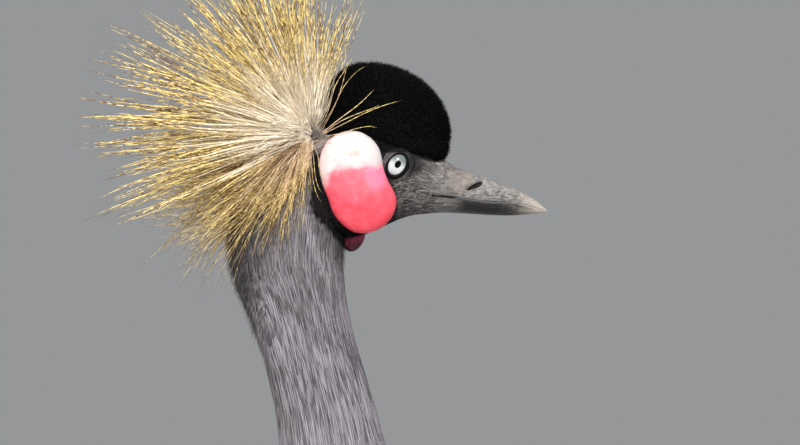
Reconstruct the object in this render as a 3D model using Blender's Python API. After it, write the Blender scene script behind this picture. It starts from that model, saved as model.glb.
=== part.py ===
"""A black crowned crane standing at rest, life size, as a museum would show it.

Metres, +Z up. The bird faces +X and its right side is at -Y. The origin is on the ground, under the
middle of the bird's bounding box. Tables of sizes are in millimetres, and MM turns them into metres.
"""

import math
import random

import bmesh
import bpy
from mathutils import Matrix, Vector
from mathutils.bvhtree import BVHTree

MM = 0.001
GAP = 0.3  # mm kept between nodes that touch
SKIN_GAP = 0.45  # mm that a cutter stands proud of a faceted, curved neighbour
SIDES = {"right": -1, "left": 1}

# ---------------------------------------------------------------- driving sizes

EYE_X = 230.0  # the eye's centre, from which the head is measured
EYE_Z = 955.0

# The trunk from the tail root to the crown of the nape, on the bird's plane of symmetry:
# centre x, centre z, half depth across the plane's curve, half width.
TRUNK = (
    (-155, 405, 16, 20),
    (-112, 427, 38, 38),
    (-58, 452, 61, 52),
    (6, 479, 80, 61),
    (76, 510, 90, 66),
    (140, 548, 88, 65),
    (184, 594, 74, 56),
    (204, 641, 57, 46),
    (211, 683, 44, 37),
    (209, 723, 35, 31),
    (203, 763, 30, 27),
    (195, 806, 27.8, 25),
    (190, 832, 25.4, 23.5),
    (183, 858, 24.2, 22.5),
    (177, 882, 25.6, 23),
    (171, 905, 29.5, 24.5),
    (172, 930, 29.5, 24),
    (178, 950, 23, 20),
    (184, 962, 12, 12),
)
TORSO_TOP = 7.2  # rows of TRUNK where the nodes part
NECK_MIDDLE = 11.0
NECK_TOP = 14.85

# The head from the back of the skull to the root of the bill, from the eye's centre:
# x, top z, bottom z, half width.
HEAD = (
    (-61, -4, -20, 8),
    (-52, 8, -31, 15),
    (-39, 16, -37.5, 18.5),
    (-25, 22, -38.5, 19.5),
    (-12, 25, -34, 19),
    (0, 23, -28.8, 17.6),
    (8, 17, -26.4, 15.6),
    (17, 7.2, -25.4, 12.6),
)
BILL_ROOT = 17.0

# The bill from its root to its tip, from the eye's centre:
# x, ridge z, mouth line z, keel z, half width at the mouth line.
BILL = (
    (17.0, 7.0, -16.4, -25.2, 12.2),
    (25.0, 2.2, -16.8, -25.3, 10.6),
    (33.0, -1.8, -17.8, -25.6, 9.0),
    (41.0, -5.0, -18.9, -26.1, 7.8),
    (50.0, -7.8, -19.8, -26.6, 6.7),
    (59.0, -11.2, -20.3, -26.8, 5.5),
    (67.0, -15.2, -21.1, -26.3, 4.1),
    (74.0, -19.6, -23.0, -25.6, 2.4),
    (79.0, -24.0, -24.3, -24.8, 0.6),
)
NOSTRIL = {"x": 40.5, "z": -11.6, "length": 9.0, "height": 2.2, "slope_deg": 25.0}

EYEBALL_R = 9.5
EYE_OUT = 10.4  # the ball's centre, out from the plane of symmetry
LID_RING_R = 6.9
LID_RIM_R = 1.1
LID_OUT = 17.3

# The velvet cap, a cushion on the forehead, from the eye's centre.
CAP = {"x": -17.0, "z": 16.0, "front": 44.8, "rear": 27.0, "up": 38.6}
CAP_WIDTH = ((-44, 13.5), (-20, 16.5), (-5, 21), (10, 22.5))  # half width by x
CAP_BRIM = ((-12, 13), (-4, 8.5), (0.5, 5.5), (6.8, 0.8), (17, -0.8), (21.5, -4.5), (26, -6))
CAP_FULL = 3.2  # how full its lower half is: 2 would be an ellipse

# The bare cheek: a pad round its own centre, with its reach every 30 degrees from the bill round
# by the crown.
CHEEK_X = -21.5
CHEEK_Z = -9.0
CHEEK_REACH = (15.8, 17.8, 24.6, 27.8, 26.6, 23.0, 19.2, 17.6, 22.0, 27.0, 26.4, 22.2)
CHEEK_OUT = 19.0  # its rim, out from the plane of symmetry
CHEEK_DOME = 5.0  # and how far its middle stands out past the rim

WATTLE = {"x": -24.5, "z": -39.5, "radii": (6.6, 5.0, 7.2), "folds": 3, "fold": 0.14}

# The crest: stiff bristles from a hub at the back of the crown.
HUB = {"x": -46.5, "z": 15.5, "radii": (11.5, 12.5, 11.5)}
CREST_COUNT = 140
CREST_LEAN_DEG = 154.0  # its middle line, up from the way the bill points
CREST_HALF_FAN_DEG = 92.0  # how far it fans fore and aft, and to each side
CREST_HALF_SPREAD_DEG = 72.0
BRISTLE_R = 0.85
BRISTLE_CLEAR = 1.3  # how far a bristle keeps from the cap, cheeks and neck
# Length by direction: degrees up from the way the bill points, and millimetres.
CREST_LENGTH = (
    (60, 84),
    (75, 94),
    (100, 110),
    (130, 122),
    (160, 131),
    (180, 133),
    (210, 122),
    (232, 110),
    (248, 80),
)

# The folded wing from the wrist to the tip, on the left: centre x, y, z, half height, half
# thickness, and lean of the top towards the back, in degrees.
WING = (
    (244, 44, 606, 10, 6, 10),
    (226, 54, 598, 32, 14, 14),
    (186, 62, 578, 56, 20, 18),
    (116, 66, 546, 73, 24, 22),
    (40, 63, 513, 77, 25, 22),
    (-34, 54, 474, 72, 23, 20),
    (-104, 44, 428, 61, 19, 14),
    (-166, 37, 378, 47, 14, 8),
    (-222, 33, 326, 29, 9, 4),
    (-268, 30, 282, 16, 5, 2),
)
WING_CORE_END = 4.3  # row of WING where the coverts' core stops and the flight feathers' begins
FLIGHT_CORE_STEP = 0.48  # rows of WING between the rings of the two cores that carry flight feathers
SECONDARY_CORE_RINGS = 7
PRIMARY_CORE_RINGS = 8
FLIGHT_PART = 0.9  # mm between those two cores
FLIGHT_SPLIT_DEG = 108.0  # how far down the wing's outside the secondaries reach
FLIGHT_INSET = 3.2
# Tiers of feathers on the wing, front to back, which overlap like tiles. Each has its root and tip as
# rows of WING, the highest and lowest feather in degrees down the wing's outside, their count, their
# half width, and how far root and tip lift off the wing.
COVERTS = (
    (0.80, 1.75, 24, 156, 4, 11.5, -2.5, 3.4),
    (1.45, 2.50, 24, 160, 4, 14.5, -2.5, 3.8),
    (2.10, 3.15, 22, 162, 5, 17.0, -2.5, 4.0),
    (2.75, 3.80, 84, 163, 4, 13.5, -2.5, 4.2),
    (3.40, 4.66, 88, 160, 4, 13.5, -2.5, 5.8),
)
SECONDARIES = ((4.45, 7.70, 18, 99, 7, 10.8, -4.6, 0.6),)
PRIMARIES = ((4.55, 8.40, 118, 170, 4, 9.5, -4.6, -0.8),)
PLUME_LOBE = (3.25, 4.60, 46.0, 24.0, 4.6)  # its first and last row, middle and half turn, thickness
PLUMES = (
    (3.90, 7.10, 28, 84, 5, 4.2, 1.0, 9.0),
    (3.80, 6.40, 24, 74, 5, 4.0, 2.0, 11.5),
)
COVERT_ROLL_DEG = 7.0  # how far each feather rolls so that it laps over the next one down
FLIGHT_ROLL_DEG = 12.0

# The tail, from its root in the rump: a closed fan of feathers.
TAIL_ROOT = (-156, 404)
TAIL_SLOPE_DEG = 52.0
TAIL_LENGTH = 251.0
TAIL_FEATHERS = 10
TAIL_ROOT_HALF_WIDTH = 8.0
TAIL_TIP_HALF_WIDTH = 22.0
TAIL_TENT = 10.0  # how much lower the outermost feathers lie than the middle ones

# Long narrow feathers that hang from the lower neck over the breast, in rows of TRUNK: root, tip, the
# first and last in degrees round from the back, count, half width, lift at root and tip.
HACKLES = (
    (8.1, 6.55, 156, 204, 4, 5.4, -1.2, 5.0),
    (9.0, 7.40, 124, 236, 6, 5.4, -1.2, 4.4),
    (9.9, 8.35, 112, 248, 6, 5.0, -1.2, 4.2),
)

# The leg: the knee is hidden in the feathers. x, y, z and radius of each row, on the left.
THIGH = ((90, 44, 468, 34), (82, 46, 430, 33), (67, 47, 385, 24), (54, 47, 345, 14), (48, 47, 322, 9.5))
SHANK = ((48, 47, 322, 7.6), (43, 47, 285, 6.4), (38, 47, 250, 7.2), (36, 47, 236, 9.2))
TARSUS = (
    (36, 47, 236, 9.0),
    (37, 47, 222, 8.6),
    (40, 47.5, 200, 6.4),
    (47, 48.5, 130, 5.8),
    (55, 50, 50, 6.0),
    (58, 50.5, 26, 7.2),
)
SCUTES = 9  # plates down the front of the tarsus, each proud of the next one down
SCUTE_HEIGHT = 0.9
ANKLE = (58.0, 50.5)  # where the toes spread, and the foot's height there
FOOT_HEIGHT = 26.0
# Each toe: heading in degrees from straight ahead (outwards is positive), length, half width, claw.
TOES = {
    "inner": (-30.0, 66.0, 5.2, 13.0),
    "middle": (4.0, 86.0, 5.6, 15.0),
    "outer": (38.0, 72.0, 5.2, 13.0),
    "hind": (172.0, 34.0, 4.6, 13.0),
}

# Its joints swell: share of the length, half width and height as shares of the toe's half width.
TOE_SHAPE = (
    (0.0, 1.15, 1.8),
    (0.22, 1.0, 1.5),
    (0.42, 1.05, 1.5),
    (0.6, 0.85, 1.25),
    (0.8, 0.95, 1.25),
    (1.0, 0.62, 0.9),
)

# The outline of a feather: shares of its length and of its half width, root to tip.
FEATHER_SHAPE = ((0.0, 0.5), (0.4, 0.95), (0.84, 0.86), (1.0, 0.0))
LONG_SHAPE = ((0.0, 0.45), (0.22, 1.0), (0.56, 0.88), (0.88, 0.56), (1.0, 0.0))
RECTRIX_SHAPE = ((0.0, 0.5), (0.5, 0.85), (0.9, 1.0), (1.0, 0.0))
PLUME_SHAPE = ((0.0, 0.9), (0.3, 1.0), (0.62, 0.8), (1.0, 0.0))
HACKLE_SHAPE = ((0.0, 0.8), (0.5, 1.0), (1.0, 0.0))

COLOURS = {
    "slate": (0.045, 0.048, 0.055, 0.75),
    "neck_grey": (0.17, 0.17, 0.18, 0.8),
    "velvet": (0.006, 0.006, 0.007, 0.95),
    "bill_horn": (0.13, 0.125, 0.12, 0.5),
    "cheek_skin": (0.85, 0.22, 0.24, 0.45),
    "wattle_skin": (0.33, 0.03, 0.08, 0.45),
    "eye": (0.62, 0.70, 0.74, 0.1),
    "straw": (0.62, 0.44, 0.19, 0.6),
    "white_feather": (0.82, 0.80, 0.75, 0.8),
    "chestnut": (0.17, 0.055, 0.03, 0.75),
    "black_feather": (0.02, 0.02, 0.023, 0.7),
    "leg": (0.03, 0.03, 0.032, 0.55),
    "claw": (0.015, 0.014, 0.013, 0.35),
}


# ---------------------------------------------------------------- shape tools


def at_row(rows, s):
    """The numbers of a table at row s, which may lie between two rows, on a smooth curve through all."""
    s = min(max(s, 0.0), len(rows) - 1.0)
    i = min(int(s), len(rows) - 2)
    t = s - i
    before, after = rows[max(i - 1, 0)], rows[min(i + 2, len(rows) - 1)]
    values = []
    for k, (p, q) in enumerate(zip(rows[i], rows[i + 1])):
        m0 = (q - before[k]) / (2 if i > 0 else 1)
        m1 = (after[k] - p) / (2 if i + 2 < len(rows) else 1)
        h00, h10 = (1 + 2 * t) * (1 - t) ** 2, t * (1 - t) ** 2
        h01, h11 = t * t * (3 - 2 * t), t * t * (t - 1)
        values.append(h00 * p + h10 * m0 + h01 * q + h11 * m1)
    return values


def between(pairs, x):
    """A value read from (x, value) pairs by straight lines."""
    for (x0, v0), (x1, v1) in zip(pairs, pairs[1:]):
        if x <= x1:
            return v0 + (v1 - v0) * min(max((x - x0) / (x1 - x0), 0.0), 1.0)
    return pairs[-1][1]


def superellipse(angle, power):
    """Unit ring that is squarer than a circle when power is over 2: (cosine side, sine side)."""
    c, s = math.cos(angle), math.sin(angle)
    return math.copysign(abs(c) ** (2 / power), c), math.copysign(abs(s) ** (2 / power), s)


def material(name):
    """The Principled material of that colour, made once."""
    made = bpy.data.materials.get(name)
    if made is None:
        red, green, blue, roughness = COLOURS[name]
        made = bpy.data.materials.new(name)
        made.use_nodes = True
        shader = made.node_tree.nodes["Principled BSDF"]
        shader.inputs["Base Color"].default_value = (red, green, blue, 1)
        shader.inputs["Roughness"].default_value = roughness
        shader.inputs["Metallic"].default_value = 0.0
    return made


def add_object(name, bm, colour):
    """Ends a bmesh as an object of outward triangles, smooth but for its sharp edges."""
    bmesh.ops.recalc_face_normals(bm, faces=bm.faces)
    bmesh.ops.triangulate(bm, faces=bm.faces)
    mesh = bpy.data.meshes.new(name)
    bm.to_mesh(mesh)
    bm.free()
    mesh.materials.append(material(colour))
    mesh.shade_smooth()
    mesh.set_sharp_from_angle(angle=math.radians(40))
    made = bpy.data.objects.new(name, mesh)
    PARTS.objects.link(made)
    return made


def loft(name, rings, colour):
    """A closed skin over rings of points in millimetres. A ring of one point is a tip."""
    bm = bmesh.new()
    rows = [[bm.verts.new(Vector(p) * MM) for p in ring] for ring in rings]
    for near, far in zip(rows, rows[1:]):
        count = max(len(near), len(far))
        for k in range(count):
            first = [near[k % len(near)], near[(k + 1) % len(near)]]
            last = [far[(k + 1) % len(far)], far[k % len(far)]]
            bm.faces.new(list(dict.fromkeys(first + last)))
    for end in (rows[0], rows[-1]):
        if len(end) > 2:
            bm.faces.new(end)
    return add_object(name, bm, colour)


def ellipsoid(name, centre, radii, colour, segments=16, rings=10):
    """A sphere primitive stretched to three radii, in millimetres."""
    bm = bmesh.new()
    bmesh.ops.create_uvsphere(bm, u_segments=segments, v_segments=rings, radius=1)
    place = Matrix.Translation(Vector(centre) * MM) @ Matrix.Diagonal((*[r * MM for r in radii], 1))
    bmesh.ops.transform(bm, matrix=place, verts=bm.verts)
    return add_object(name, bm, colour)


def vane(points, normals, widths, thickness=1.2, camber=0.06):
    """A feather: a blade along points, raised along its shaft, with the same triangles on both faces.

    A half width of 0 ends it in a point.
    """
    bm = bmesh.new()
    rows = []
    for k, (point, normal, width) in enumerate(zip(points, normals, widths)):
        along = (points[min(k + 1, len(points) - 1)] - points[max(k - 1, 0)]).normalized()
        across = along.cross(normal).normalized()
        rise = across.cross(along)
        corners = [point]
        if width > 0:
            over, under = camber * width + thickness / 2, camber * width - thickness / 2
            out = across * width
            corners = [point - out, point + rise * over, point + out, point + rise * under]
        rows.append([bm.verts.new(corner * MM) for corner in corners])
    for near, far in zip(rows, rows[1:]):
        for k in range(4):
            n = (k + 1) % 4
            if len(far) == 1:
                bm.faces.new((near[k], near[n], far[0]))
            elif k % 2 == 0:
                bm.faces.new((near[k], near[n], far[n]))
                bm.faces.new((near[k], far[n], far[k]))
            else:
                bm.faces.new((near[k], near[n], far[k]))
                bm.faces.new((near[n], far[n], far[k]))
    left, over, right, under = rows[0]
    bm.faces.new((left, over, under))
    bm.faces.new((right, under, over))
    return add_object("vane", bm, "slate")


def swollen(source, distance):
    """A copy of an object with its skin moved out by a distance in millimetres, to cut with."""
    copy = bpy.data.objects.new(source.name + "_cutter", source.data.copy())
    CUTTERS.objects.link(copy)
    copy.hide_render = True
    copy.display_type = "WIRE"
    normals = [v.normal.copy() for v in copy.data.vertices]
    for vertex, normal in zip(copy.data.vertices, normals):
        vertex.co += normal * distance * MM
    return copy


def keep_largest(obj):
    """Leaves only the closed surface with the largest volume."""
    bm = bmesh.new()
    bm.from_mesh(obj.data)
    bm.faces.ensure_lookup_table()
    left, shells = set(bm.faces), []
    while left:
        shell, edge_of = set(), [left.pop()]
        while edge_of:
            face = edge_of.pop()
            shell.add(face)
            for edge in face.edges:
                for other in edge.link_faces:
                    if other in left:
                        left.remove(other)
                        edge_of.append(other)
        shells.append(shell)
    shells.sort(key=lambda faces: sum(f.calc_center_median().dot(f.normal) * f.calc_area() for f in faces))
    drop = [face for shell in shells[:-1] for face in shell]
    bmesh.ops.delete(bm, geom=drop, context="FACES")
    loose = [v for v in bm.verts if not v.link_faces]
    bmesh.ops.delete(bm, geom=loose, context="VERTS")
    bmesh.ops.triangulate(bm, faces=bm.faces)
    bmesh.ops.dissolve_degenerate(bm, dist=2e-7, edges=bm.edges)
    bm.to_mesh(obj.data)
    bm.free()


def combine(obj, others, operation, solver="MANIFOLD"):
    """Joins others to obj, or cuts them from it, in one applied Boolean, and removes them."""
    if not others:
        return obj
    pool = bpy.data.collections.new("pool")
    bpy.context.scene.collection.children.link(pool)
    for other in others:
        pool.objects.link(other)
    modifier = obj.modifiers.new(operation.lower(), "BOOLEAN")
    modifier.operand_type = "COLLECTION"
    modifier.collection = pool
    modifier.operation = operation
    modifier.solver = solver
    graph = bpy.context.evaluated_depsgraph_get()
    result = bpy.data.meshes.new_from_object(obj.evaluated_get(graph))
    obj.modifiers.clear()
    obj.data = result
    for other in list(pool.objects):
        bpy.data.objects.remove(other)
    bpy.data.collections.remove(pool)
    keep_largest(obj)
    return obj


def fuse(obj, pieces):
    """One closed solid of an object and the pieces that grow out of it."""
    return combine(obj, pieces, "UNION")


def cut_clear(obj, neighbours, distance=SKIN_GAP):
    """Cuts a node back from what it grows from, which leaves the gap between them."""
    return combine(obj, [swollen(n, distance) for n in neighbours], "DIFFERENCE")


# ---------------------------------------------------------------- trunk


def trunk_ring(s, sides, slide=0.0):
    """A ring across the trunk at row s, slid along the trunk by a few tenths of a millimetre."""
    x, z, depth, width = at_row(TRUNK, s)
    ahead, behind = at_row(TRUNK, s + 0.05), at_row(TRUNK, s - 0.05)
    along = Vector((ahead[0] - behind[0], 0, ahead[1] - behind[1])).normalized()
    back = Vector((-along.z, 0, along.x))
    centre = Vector((x, 0, z)) + along * slide
    ring = []
    for k in range(sides):
        up, out = superellipse(2 * math.pi * k / sides, 2.1)
        ring.append(centre + back * depth * up + Vector((0, width * out, 0)))
    return ring


def trunk_length(name, start, end, rows, sides, colour):
    """One length of the trunk with flat ends, each half a gap short of its neighbour."""
    stops = [start + (end - start) * k / (rows - 1) for k in range(rows)]
    slides = [GAP / 2] + [0.0] * (rows - 2) + [-GAP / 2]
    return loft(name, [trunk_ring(s, sides, d) for s, d in zip(stops, slides)], colour)


def make_trunk():
    torso = trunk_length("torso", 0.0, TORSO_TOP, 13, 18, "slate")
    lower = trunk_length("neck_lower", TORSO_TOP, NECK_MIDDLE, 7, 16, "neck_grey")
    upper = trunk_length("neck_upper", NECK_MIDDLE, NECK_TOP, 8, 16, "neck_grey")
    return torso, lower, upper


# ---------------------------------------------------------------- head


def head_x(x):
    return EYE_X + x


def head_z(z):
    return EYE_Z + z


def head_form(name):
    """The skull from nape to bill root, squarer than an ellipse in section."""
    rings = []
    for k in range(13):
        x, top, bottom, width = at_row(HEAD, k * (len(HEAD) - 1) / 12)
        middle, half = (top + bottom) / 2, (top - bottom) / 2
        ring = []
        for j in range(18):
            up, out = superellipse(2 * math.pi * j / 18, 2.5)
            ring.append((head_x(x), width * out, head_z(middle) + half * up))
        rings.append(ring)
    return loft(name, rings, "neck_grey")


def eye_place(side, radius, name):
    centre = (EYE_X, SIDES[side] * EYE_OUT, EYE_Z)
    return ellipsoid(name, centre, (radius, radius, radius), "eye", 12, 8)


def lid_ring(side):
    bpy.ops.mesh.primitive_torus_add(
        major_segments=12,
        minor_segments=5,
        major_radius=LID_RING_R * MM,
        minor_radius=LID_RIM_R * MM,
        location=(EYE_X * MM, SIDES[side] * LID_OUT * MM, EYE_Z * MM),
        rotation=(math.radians(90), 0, 0),
    )
    ring = bpy.context.object
    ring.data.transform(ring.matrix_world)
    ring.matrix_world = Matrix.Identity(4)
    return ring


def make_head():
    nape_rows = [NECK_TOP, 15.3, 16.0, 16.6, 17.2, 17.7, 18.0]
    slides = [GAP / 2] + [0.0] * 6
    nape = loft("nape", [trunk_ring(s, 16, d) for s, d in zip(nape_rows, slides)], "neck_grey")
    head = head_form("head")
    fuse(head, [nape])
    eyes = [eye_place(side, EYEBALL_R, "eye_" + side) for side in SIDES]
    sockets = [eye_place(side, EYEBALL_R + GAP, "socket") for side in SIDES]
    fuse(head, [lid_ring(side) for side in SIDES])
    combine(head, sockets, "DIFFERENCE")
    return head, eyes


def bill_half(name, upper):
    """One jaw: an arch over the flat where the jaws meet."""
    rings = []
    for k in range(11):
        x, ridge, mouth, keel, width = at_row(BILL, k * (len(BILL) - 1) / 10)
        if upper:
            low, high = mouth + GAP / 2, ridge
        else:
            low, high = keel, mouth - GAP / 2
        ring = []
        for j in range(7):
            angle = math.pi * j / 6
            rise = math.sin(angle) ** 0.9
            out = math.cos(angle) * (1.0 if upper else 0.94)
            z = low + (high - low) * rise if upper else high - (high - low) * rise
            ring.append((head_x(x) + (GAP if k == 0 else 0), width * out, head_z(z)))
        rings.append(ring)
    return loft(name, rings, "bill_horn")


def nostril_pit(side):
    """A slanting slit, sunk into the side of the upper bill."""
    x, z = NOSTRIL["x"], NOSTRIL["z"]
    width = between([(row[0], row[4]) for row in BILL], x) * 0.86
    radii = (NOSTRIL["length"] / 2, 2.6, NOSTRIL["height"] / 2)
    pit = ellipsoid("pit", (0, 0, 0), radii, "bill_horn", 8, 6)
    turn = Matrix.Rotation(-math.radians(NOSTRIL["slope_deg"]), 4, "Y")
    place = Matrix.Translation(Vector((head_x(x), SIDES[side] * width, head_z(z))) * MM)
    pit.data.transform(place @ turn)
    return pit


def make_bill():
    upper = bill_half("bill_upper", True)
    lower = bill_half("bill_lower", False)
    combine(upper, [nostril_pit(side) for side in SIDES], "DIFFERENCE")
    return upper, lower


def make_cap(head, bill):
    """A cushion whose lower half is squashed down to a brim, which dips to the bill at its nose."""
    bm = bmesh.new()
    bmesh.ops.create_uvsphere(bm, u_segments=16, v_segments=11, radius=1)
    for v in bm.verts:
        x = CAP["x"] + v.co.x * (CAP["front"] if v.co.x > 0 else CAP["rear"])
        level = min(math.hypot(v.co.x, v.co.y), 1.0)
        drop = (CAP["z"] - between(CAP_BRIM, x)) * (1 - level**CAP_FULL) ** (1 / CAP_FULL)
        z = CAP["z"] + (v.co.z * CAP["up"] if v.co.z > 0 else -drop)
        v.co = Vector((head_x(x), between(CAP_WIDTH, x) * v.co.y, head_z(z))) * MM
    cap = add_object("cap", bm, "velvet")
    return cut_clear(cap, [head, bill])


def cheek_reach(angle):
    """The pad's reach at an angle from its centre, on a smooth closed curve through CHEEK_REACH."""
    count = len(CHEEK_REACH)
    s = (angle / (2 * math.pi) * count) % count
    i, t = int(s), s - int(s)
    p = [CHEEK_REACH[(i + k) % count] for k in (-1, 0, 1, 2)]
    rise, fall = (p[2] - p[0]) / 2, (p[3] - p[1]) / 2
    near = (1 + 2 * t) * (1 - t) ** 2 * p[1] + t * (1 - t) ** 2 * rise
    return near + t * t * (3 - 2 * t) * p[2] + t * t * (t - 1) * fall


def cheek_out(share):
    """How far out the pad stands at a share of its reach: a low dome with a round rim."""
    return CHEEK_OUT + CHEEK_DOME * (1 - share**2.6) ** 0.8 - 1.6 * share**6


def make_cheek(side, head, cap):
    count = 18
    rings = []
    for share, out in [(0.97, CHEEK_OUT - 9.0)] + [(s, cheek_out(s)) for s in (1.0, 0.86, 0.5)]:
        ring = []
        for k in range(count):
            angle = 2 * math.pi * k / count
            reach = cheek_reach(angle) * share
            x, z = CHEEK_X + reach * math.cos(angle), CHEEK_Z + reach * math.sin(angle)
            ring.append((head_x(x), SIDES[side] * out, head_z(z)))
        rings.append(ring)
    rings.append([(head_x(CHEEK_X), SIDES[side] * cheek_out(0.0), head_z(CHEEK_Z))])
    cheek = loft("cheek_" + side, rings, "cheek_skin")
    return cut_clear(cheek, [head, cap])


def make_wattle(head, neck, cheeks):
    centre = (head_x(WATTLE["x"]), 0, head_z(WATTLE["z"]))
    wattle = ellipsoid("wattle", centre, WATTLE["radii"], "wattle_skin", 16, 8)
    for v in wattle.data.vertices:
        across = v.co.x / MM - centre[0]
        v.co.y *= 1 + WATTLE["fold"] * math.cos(across * math.pi * WATTLE["folds"] / WATTLE["radii"][0])
    return cut_clear(wattle, [head, neck, *cheeks])


# ---------------------------------------------------------------- crest


def crest_reach(up, aside):
    """How far the crest reaches at an angle up from the bill's direction and an angle to the side."""
    return between(CREST_LENGTH, up) * (1 - 0.16 * min(abs(aside) / CREST_HALF_SPREAD_DEG, 1.0) ** 2)


def tree_of(nodes):
    """One search tree over the faces of several nodes, in metres."""
    points, faces = [], []
    for node in nodes:
        base = len(points)
        points += [v.co.copy() for v in node.data.vertices]
        faces += [[base + k for k in polygon.vertices] for polygon in node.data.polygons]
    return BVHTree.FromPolygons(points, faces)


def stays_clear(points, tree):
    """Whether points keep their distance from the nodes in a tree, and outside them."""
    for point in points:
        nearest, normal, _, distance = tree.find_nearest(point * MM)
        if distance < BRISTLE_CLEAR * MM or (point * MM - nearest).dot(normal) < 0:
            return False
    return True


def bristle(points, radius):
    """A three-sided spine that thins to a point."""
    rings = []
    for k, point in enumerate(points[:-1]):
        along = (points[k + 1] - points[max(k - 1, 0)]).normalized()
        across = along.cross(Vector((0.3, 0.9, 0.2))).normalized()
        rise = across.cross(along)
        size = radius * (1.0 if k else 0.75)
        turns = [math.radians(120 * j) for j in range(3)]
        rings.append([point + (across * math.cos(t) + rise * math.sin(t)) * size for t in turns])
    return loft("bristle", rings + [[points[-1]]], "straw")


def make_crest(near):
    """Bristles spread evenly over a fan of directions, each straight at its root and a little bent on."""
    random.seed(7)
    centre = Vector((head_x(HUB["x"]), 0, head_z(HUB["z"])))
    tree = tree_of(near)
    hub = cut_clear(ellipsoid("crest", centre, HUB["radii"], "straw", 10, 7), near)
    lean = Vector((math.cos(math.radians(CREST_LEAN_DEG)), 0, math.sin(math.radians(CREST_LEAN_DEG))))
    share = math.radians(2 * CREST_HALF_FAN_DEG) * math.sin(math.radians(CREST_HALF_SPREAD_DEG)) * 2
    directions = round(CREST_COUNT * 4 * math.pi / share)
    bristles = []
    for k in range(directions):
        side = 1 - 2 * (k + 0.5) / directions
        up = math.degrees(math.pi * (3 - math.sqrt(5)) * k) % 360
        aside = math.degrees(math.asin(side))
        off = (up - CREST_LEAN_DEG + 180) % 360 - 180
        if abs(off) > CREST_HALF_FAN_DEG or abs(aside) > CREST_HALF_SPREAD_DEG:
            continue
        reach = crest_reach(up, aside) * random.uniform(0.86, 1.04)
        turn, tilt = math.radians(up), math.radians(aside)
        out = Vector((math.cos(turn) * math.cos(tilt), math.sin(tilt), math.sin(turn) * math.cos(tilt)))
        bend = Vector([random.uniform(-1, 1) for _ in range(3)]) * 2.2
        sag = Vector((0, 0, -0.05 * reach * math.cos(turn) ** 2))
        root = centre + (out * 4 + lean).normalized() * 10.0
        points = [root, centre + out * reach * 0.5 + bend + sag * 0.25, centre + out * reach + sag]
        steps = [points[k].lerp(points[k + 1], t / 8) for k in (0, 1) for t in range(9)]
        if stays_clear(steps, tree):
            bristles.append(bristle(points, BRISTLE_R))
    return fuse(hub, bristles)


# ---------------------------------------------------------------- wings and tail


def wing_frame(s, side):
    """Centre, up and outward directions, half height and half thickness of the folded wing at row s."""
    x, y, z, height, thick, lean = at_row(WING, s)
    ahead, behind = at_row(WING, s + 0.05), at_row(WING, s - 0.05)
    along = Vector((ahead[0] - behind[0], side * (ahead[1] - behind[1]), ahead[2] - behind[2])).normalized()
    out = Vector((0, side, 0))
    out = (out - along * out.dot(along)).normalized()
    up = along.cross(out) * -side
    up = up if up.z > 0 else -up
    tilt = math.radians(lean)
    up, out = up * math.cos(tilt) - out * math.sin(tilt), out * math.cos(tilt) + up * math.sin(tilt)
    return Vector((x, side * y, z)), up, out, height, thick


def wing_point(s, turn, lift, side):
    """A point on the wing's outside: turn is 0 at its top edge, 90 at its middle and 180 at its lower
    edge, in degrees, and lift is how far it stands off."""
    centre, up, out, height, thick = wing_frame(s, side)
    c, n = math.cos(math.radians(turn)), math.sin(math.radians(turn))
    normal = (up * (c / height) + out * (n / thick)).normalized()
    return centre + up * height * c + out * thick * n + normal * lift


def make_wing_core(side):
    rings = []
    for k in range(7):
        s = WING_CORE_END * k / 6
        rings.append([wing_point(s, 360 * j / 12, 0.0, SIDES[side]) for j in range(12)])
    return loft("wing_" + side, rings, "white_feather")


def flight_core(name, side, count, colour, turns, slide):
    """A strip of the folded wing behind the coverts, cut off along a chord between two turns."""
    rings = []
    for k in range(count):
        s = WING_CORE_END + GAP / 70 + FLIGHT_CORE_STEP * k
        up = wing_frame(s, side)[1]
        spots = [turns[0] + (turns[1] - turns[0]) * j / 9 for j in range(10)]
        rings.append([wing_point(s, turn, -FLIGHT_INSET, side) + up * slide for turn in spots])
    return loft(name, rings, colour)


def surface_feather(place, root, tip, width, shape=FEATHER_SHAPE):
    """A feather that follows a surface. place gives the surface's point and outward normal for a row,
    a turn and a lift, root and tip are such triples, and width is half its widest."""
    points, normals, widths = [], [], []
    for share, spread in shape:
        row, turn = (r + (t - r) * share for r, t in zip(root[:2], tip[:2]))
        point, normal = place(row, turn, root[2] + (tip[2] - root[2]) * share**0.4)
        points.append(point)
        normals.append(normal)
        widths.append(width * spread)
    return vane(points, normals, widths)


def wing_place(side, roll_deg):
    """The outside of the folded wing as a surface to put feathers on, each rolled by an angle."""

    def place(row, turn, lift):
        point = wing_point(row, turn, lift, side)
        along = wing_point(row + 0.05, turn, lift, side) - wing_point(row - 0.05, turn, lift, side)
        down = wing_point(row, turn + 2, lift, side) - wing_point(row, turn - 2, lift, side)
        normal = along.cross(down).normalized() * side
        normal = normal if normal.y * side > -0.5 else -normal
        tilt = math.radians(roll_deg)
        return point, normal * math.cos(tilt) - down.normalized() * math.sin(tilt)

    return place


def tier(place, rows, jitter, shape=FEATHER_SHAPE):
    """One row of overlapping feathers from a line of the tables above."""
    root, tip, first, last, count, width, root_lift, tip_lift = rows
    feathers = []
    for k in range(count):
        high, low = math.cos(math.radians(first)), math.cos(math.radians(last))
        turn = math.degrees(math.acos(high + (low - high) * k / (count - 1)))
        slip = random.uniform(-jitter, jitter)
        start = (root + slip * 0.3, turn, root_lift)
        end = (tip + slip, turn + random.uniform(-1.5, 1.5), tip_lift)
        feathers.append(surface_feather(place, start, end, width, shape))
    return feathers


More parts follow.
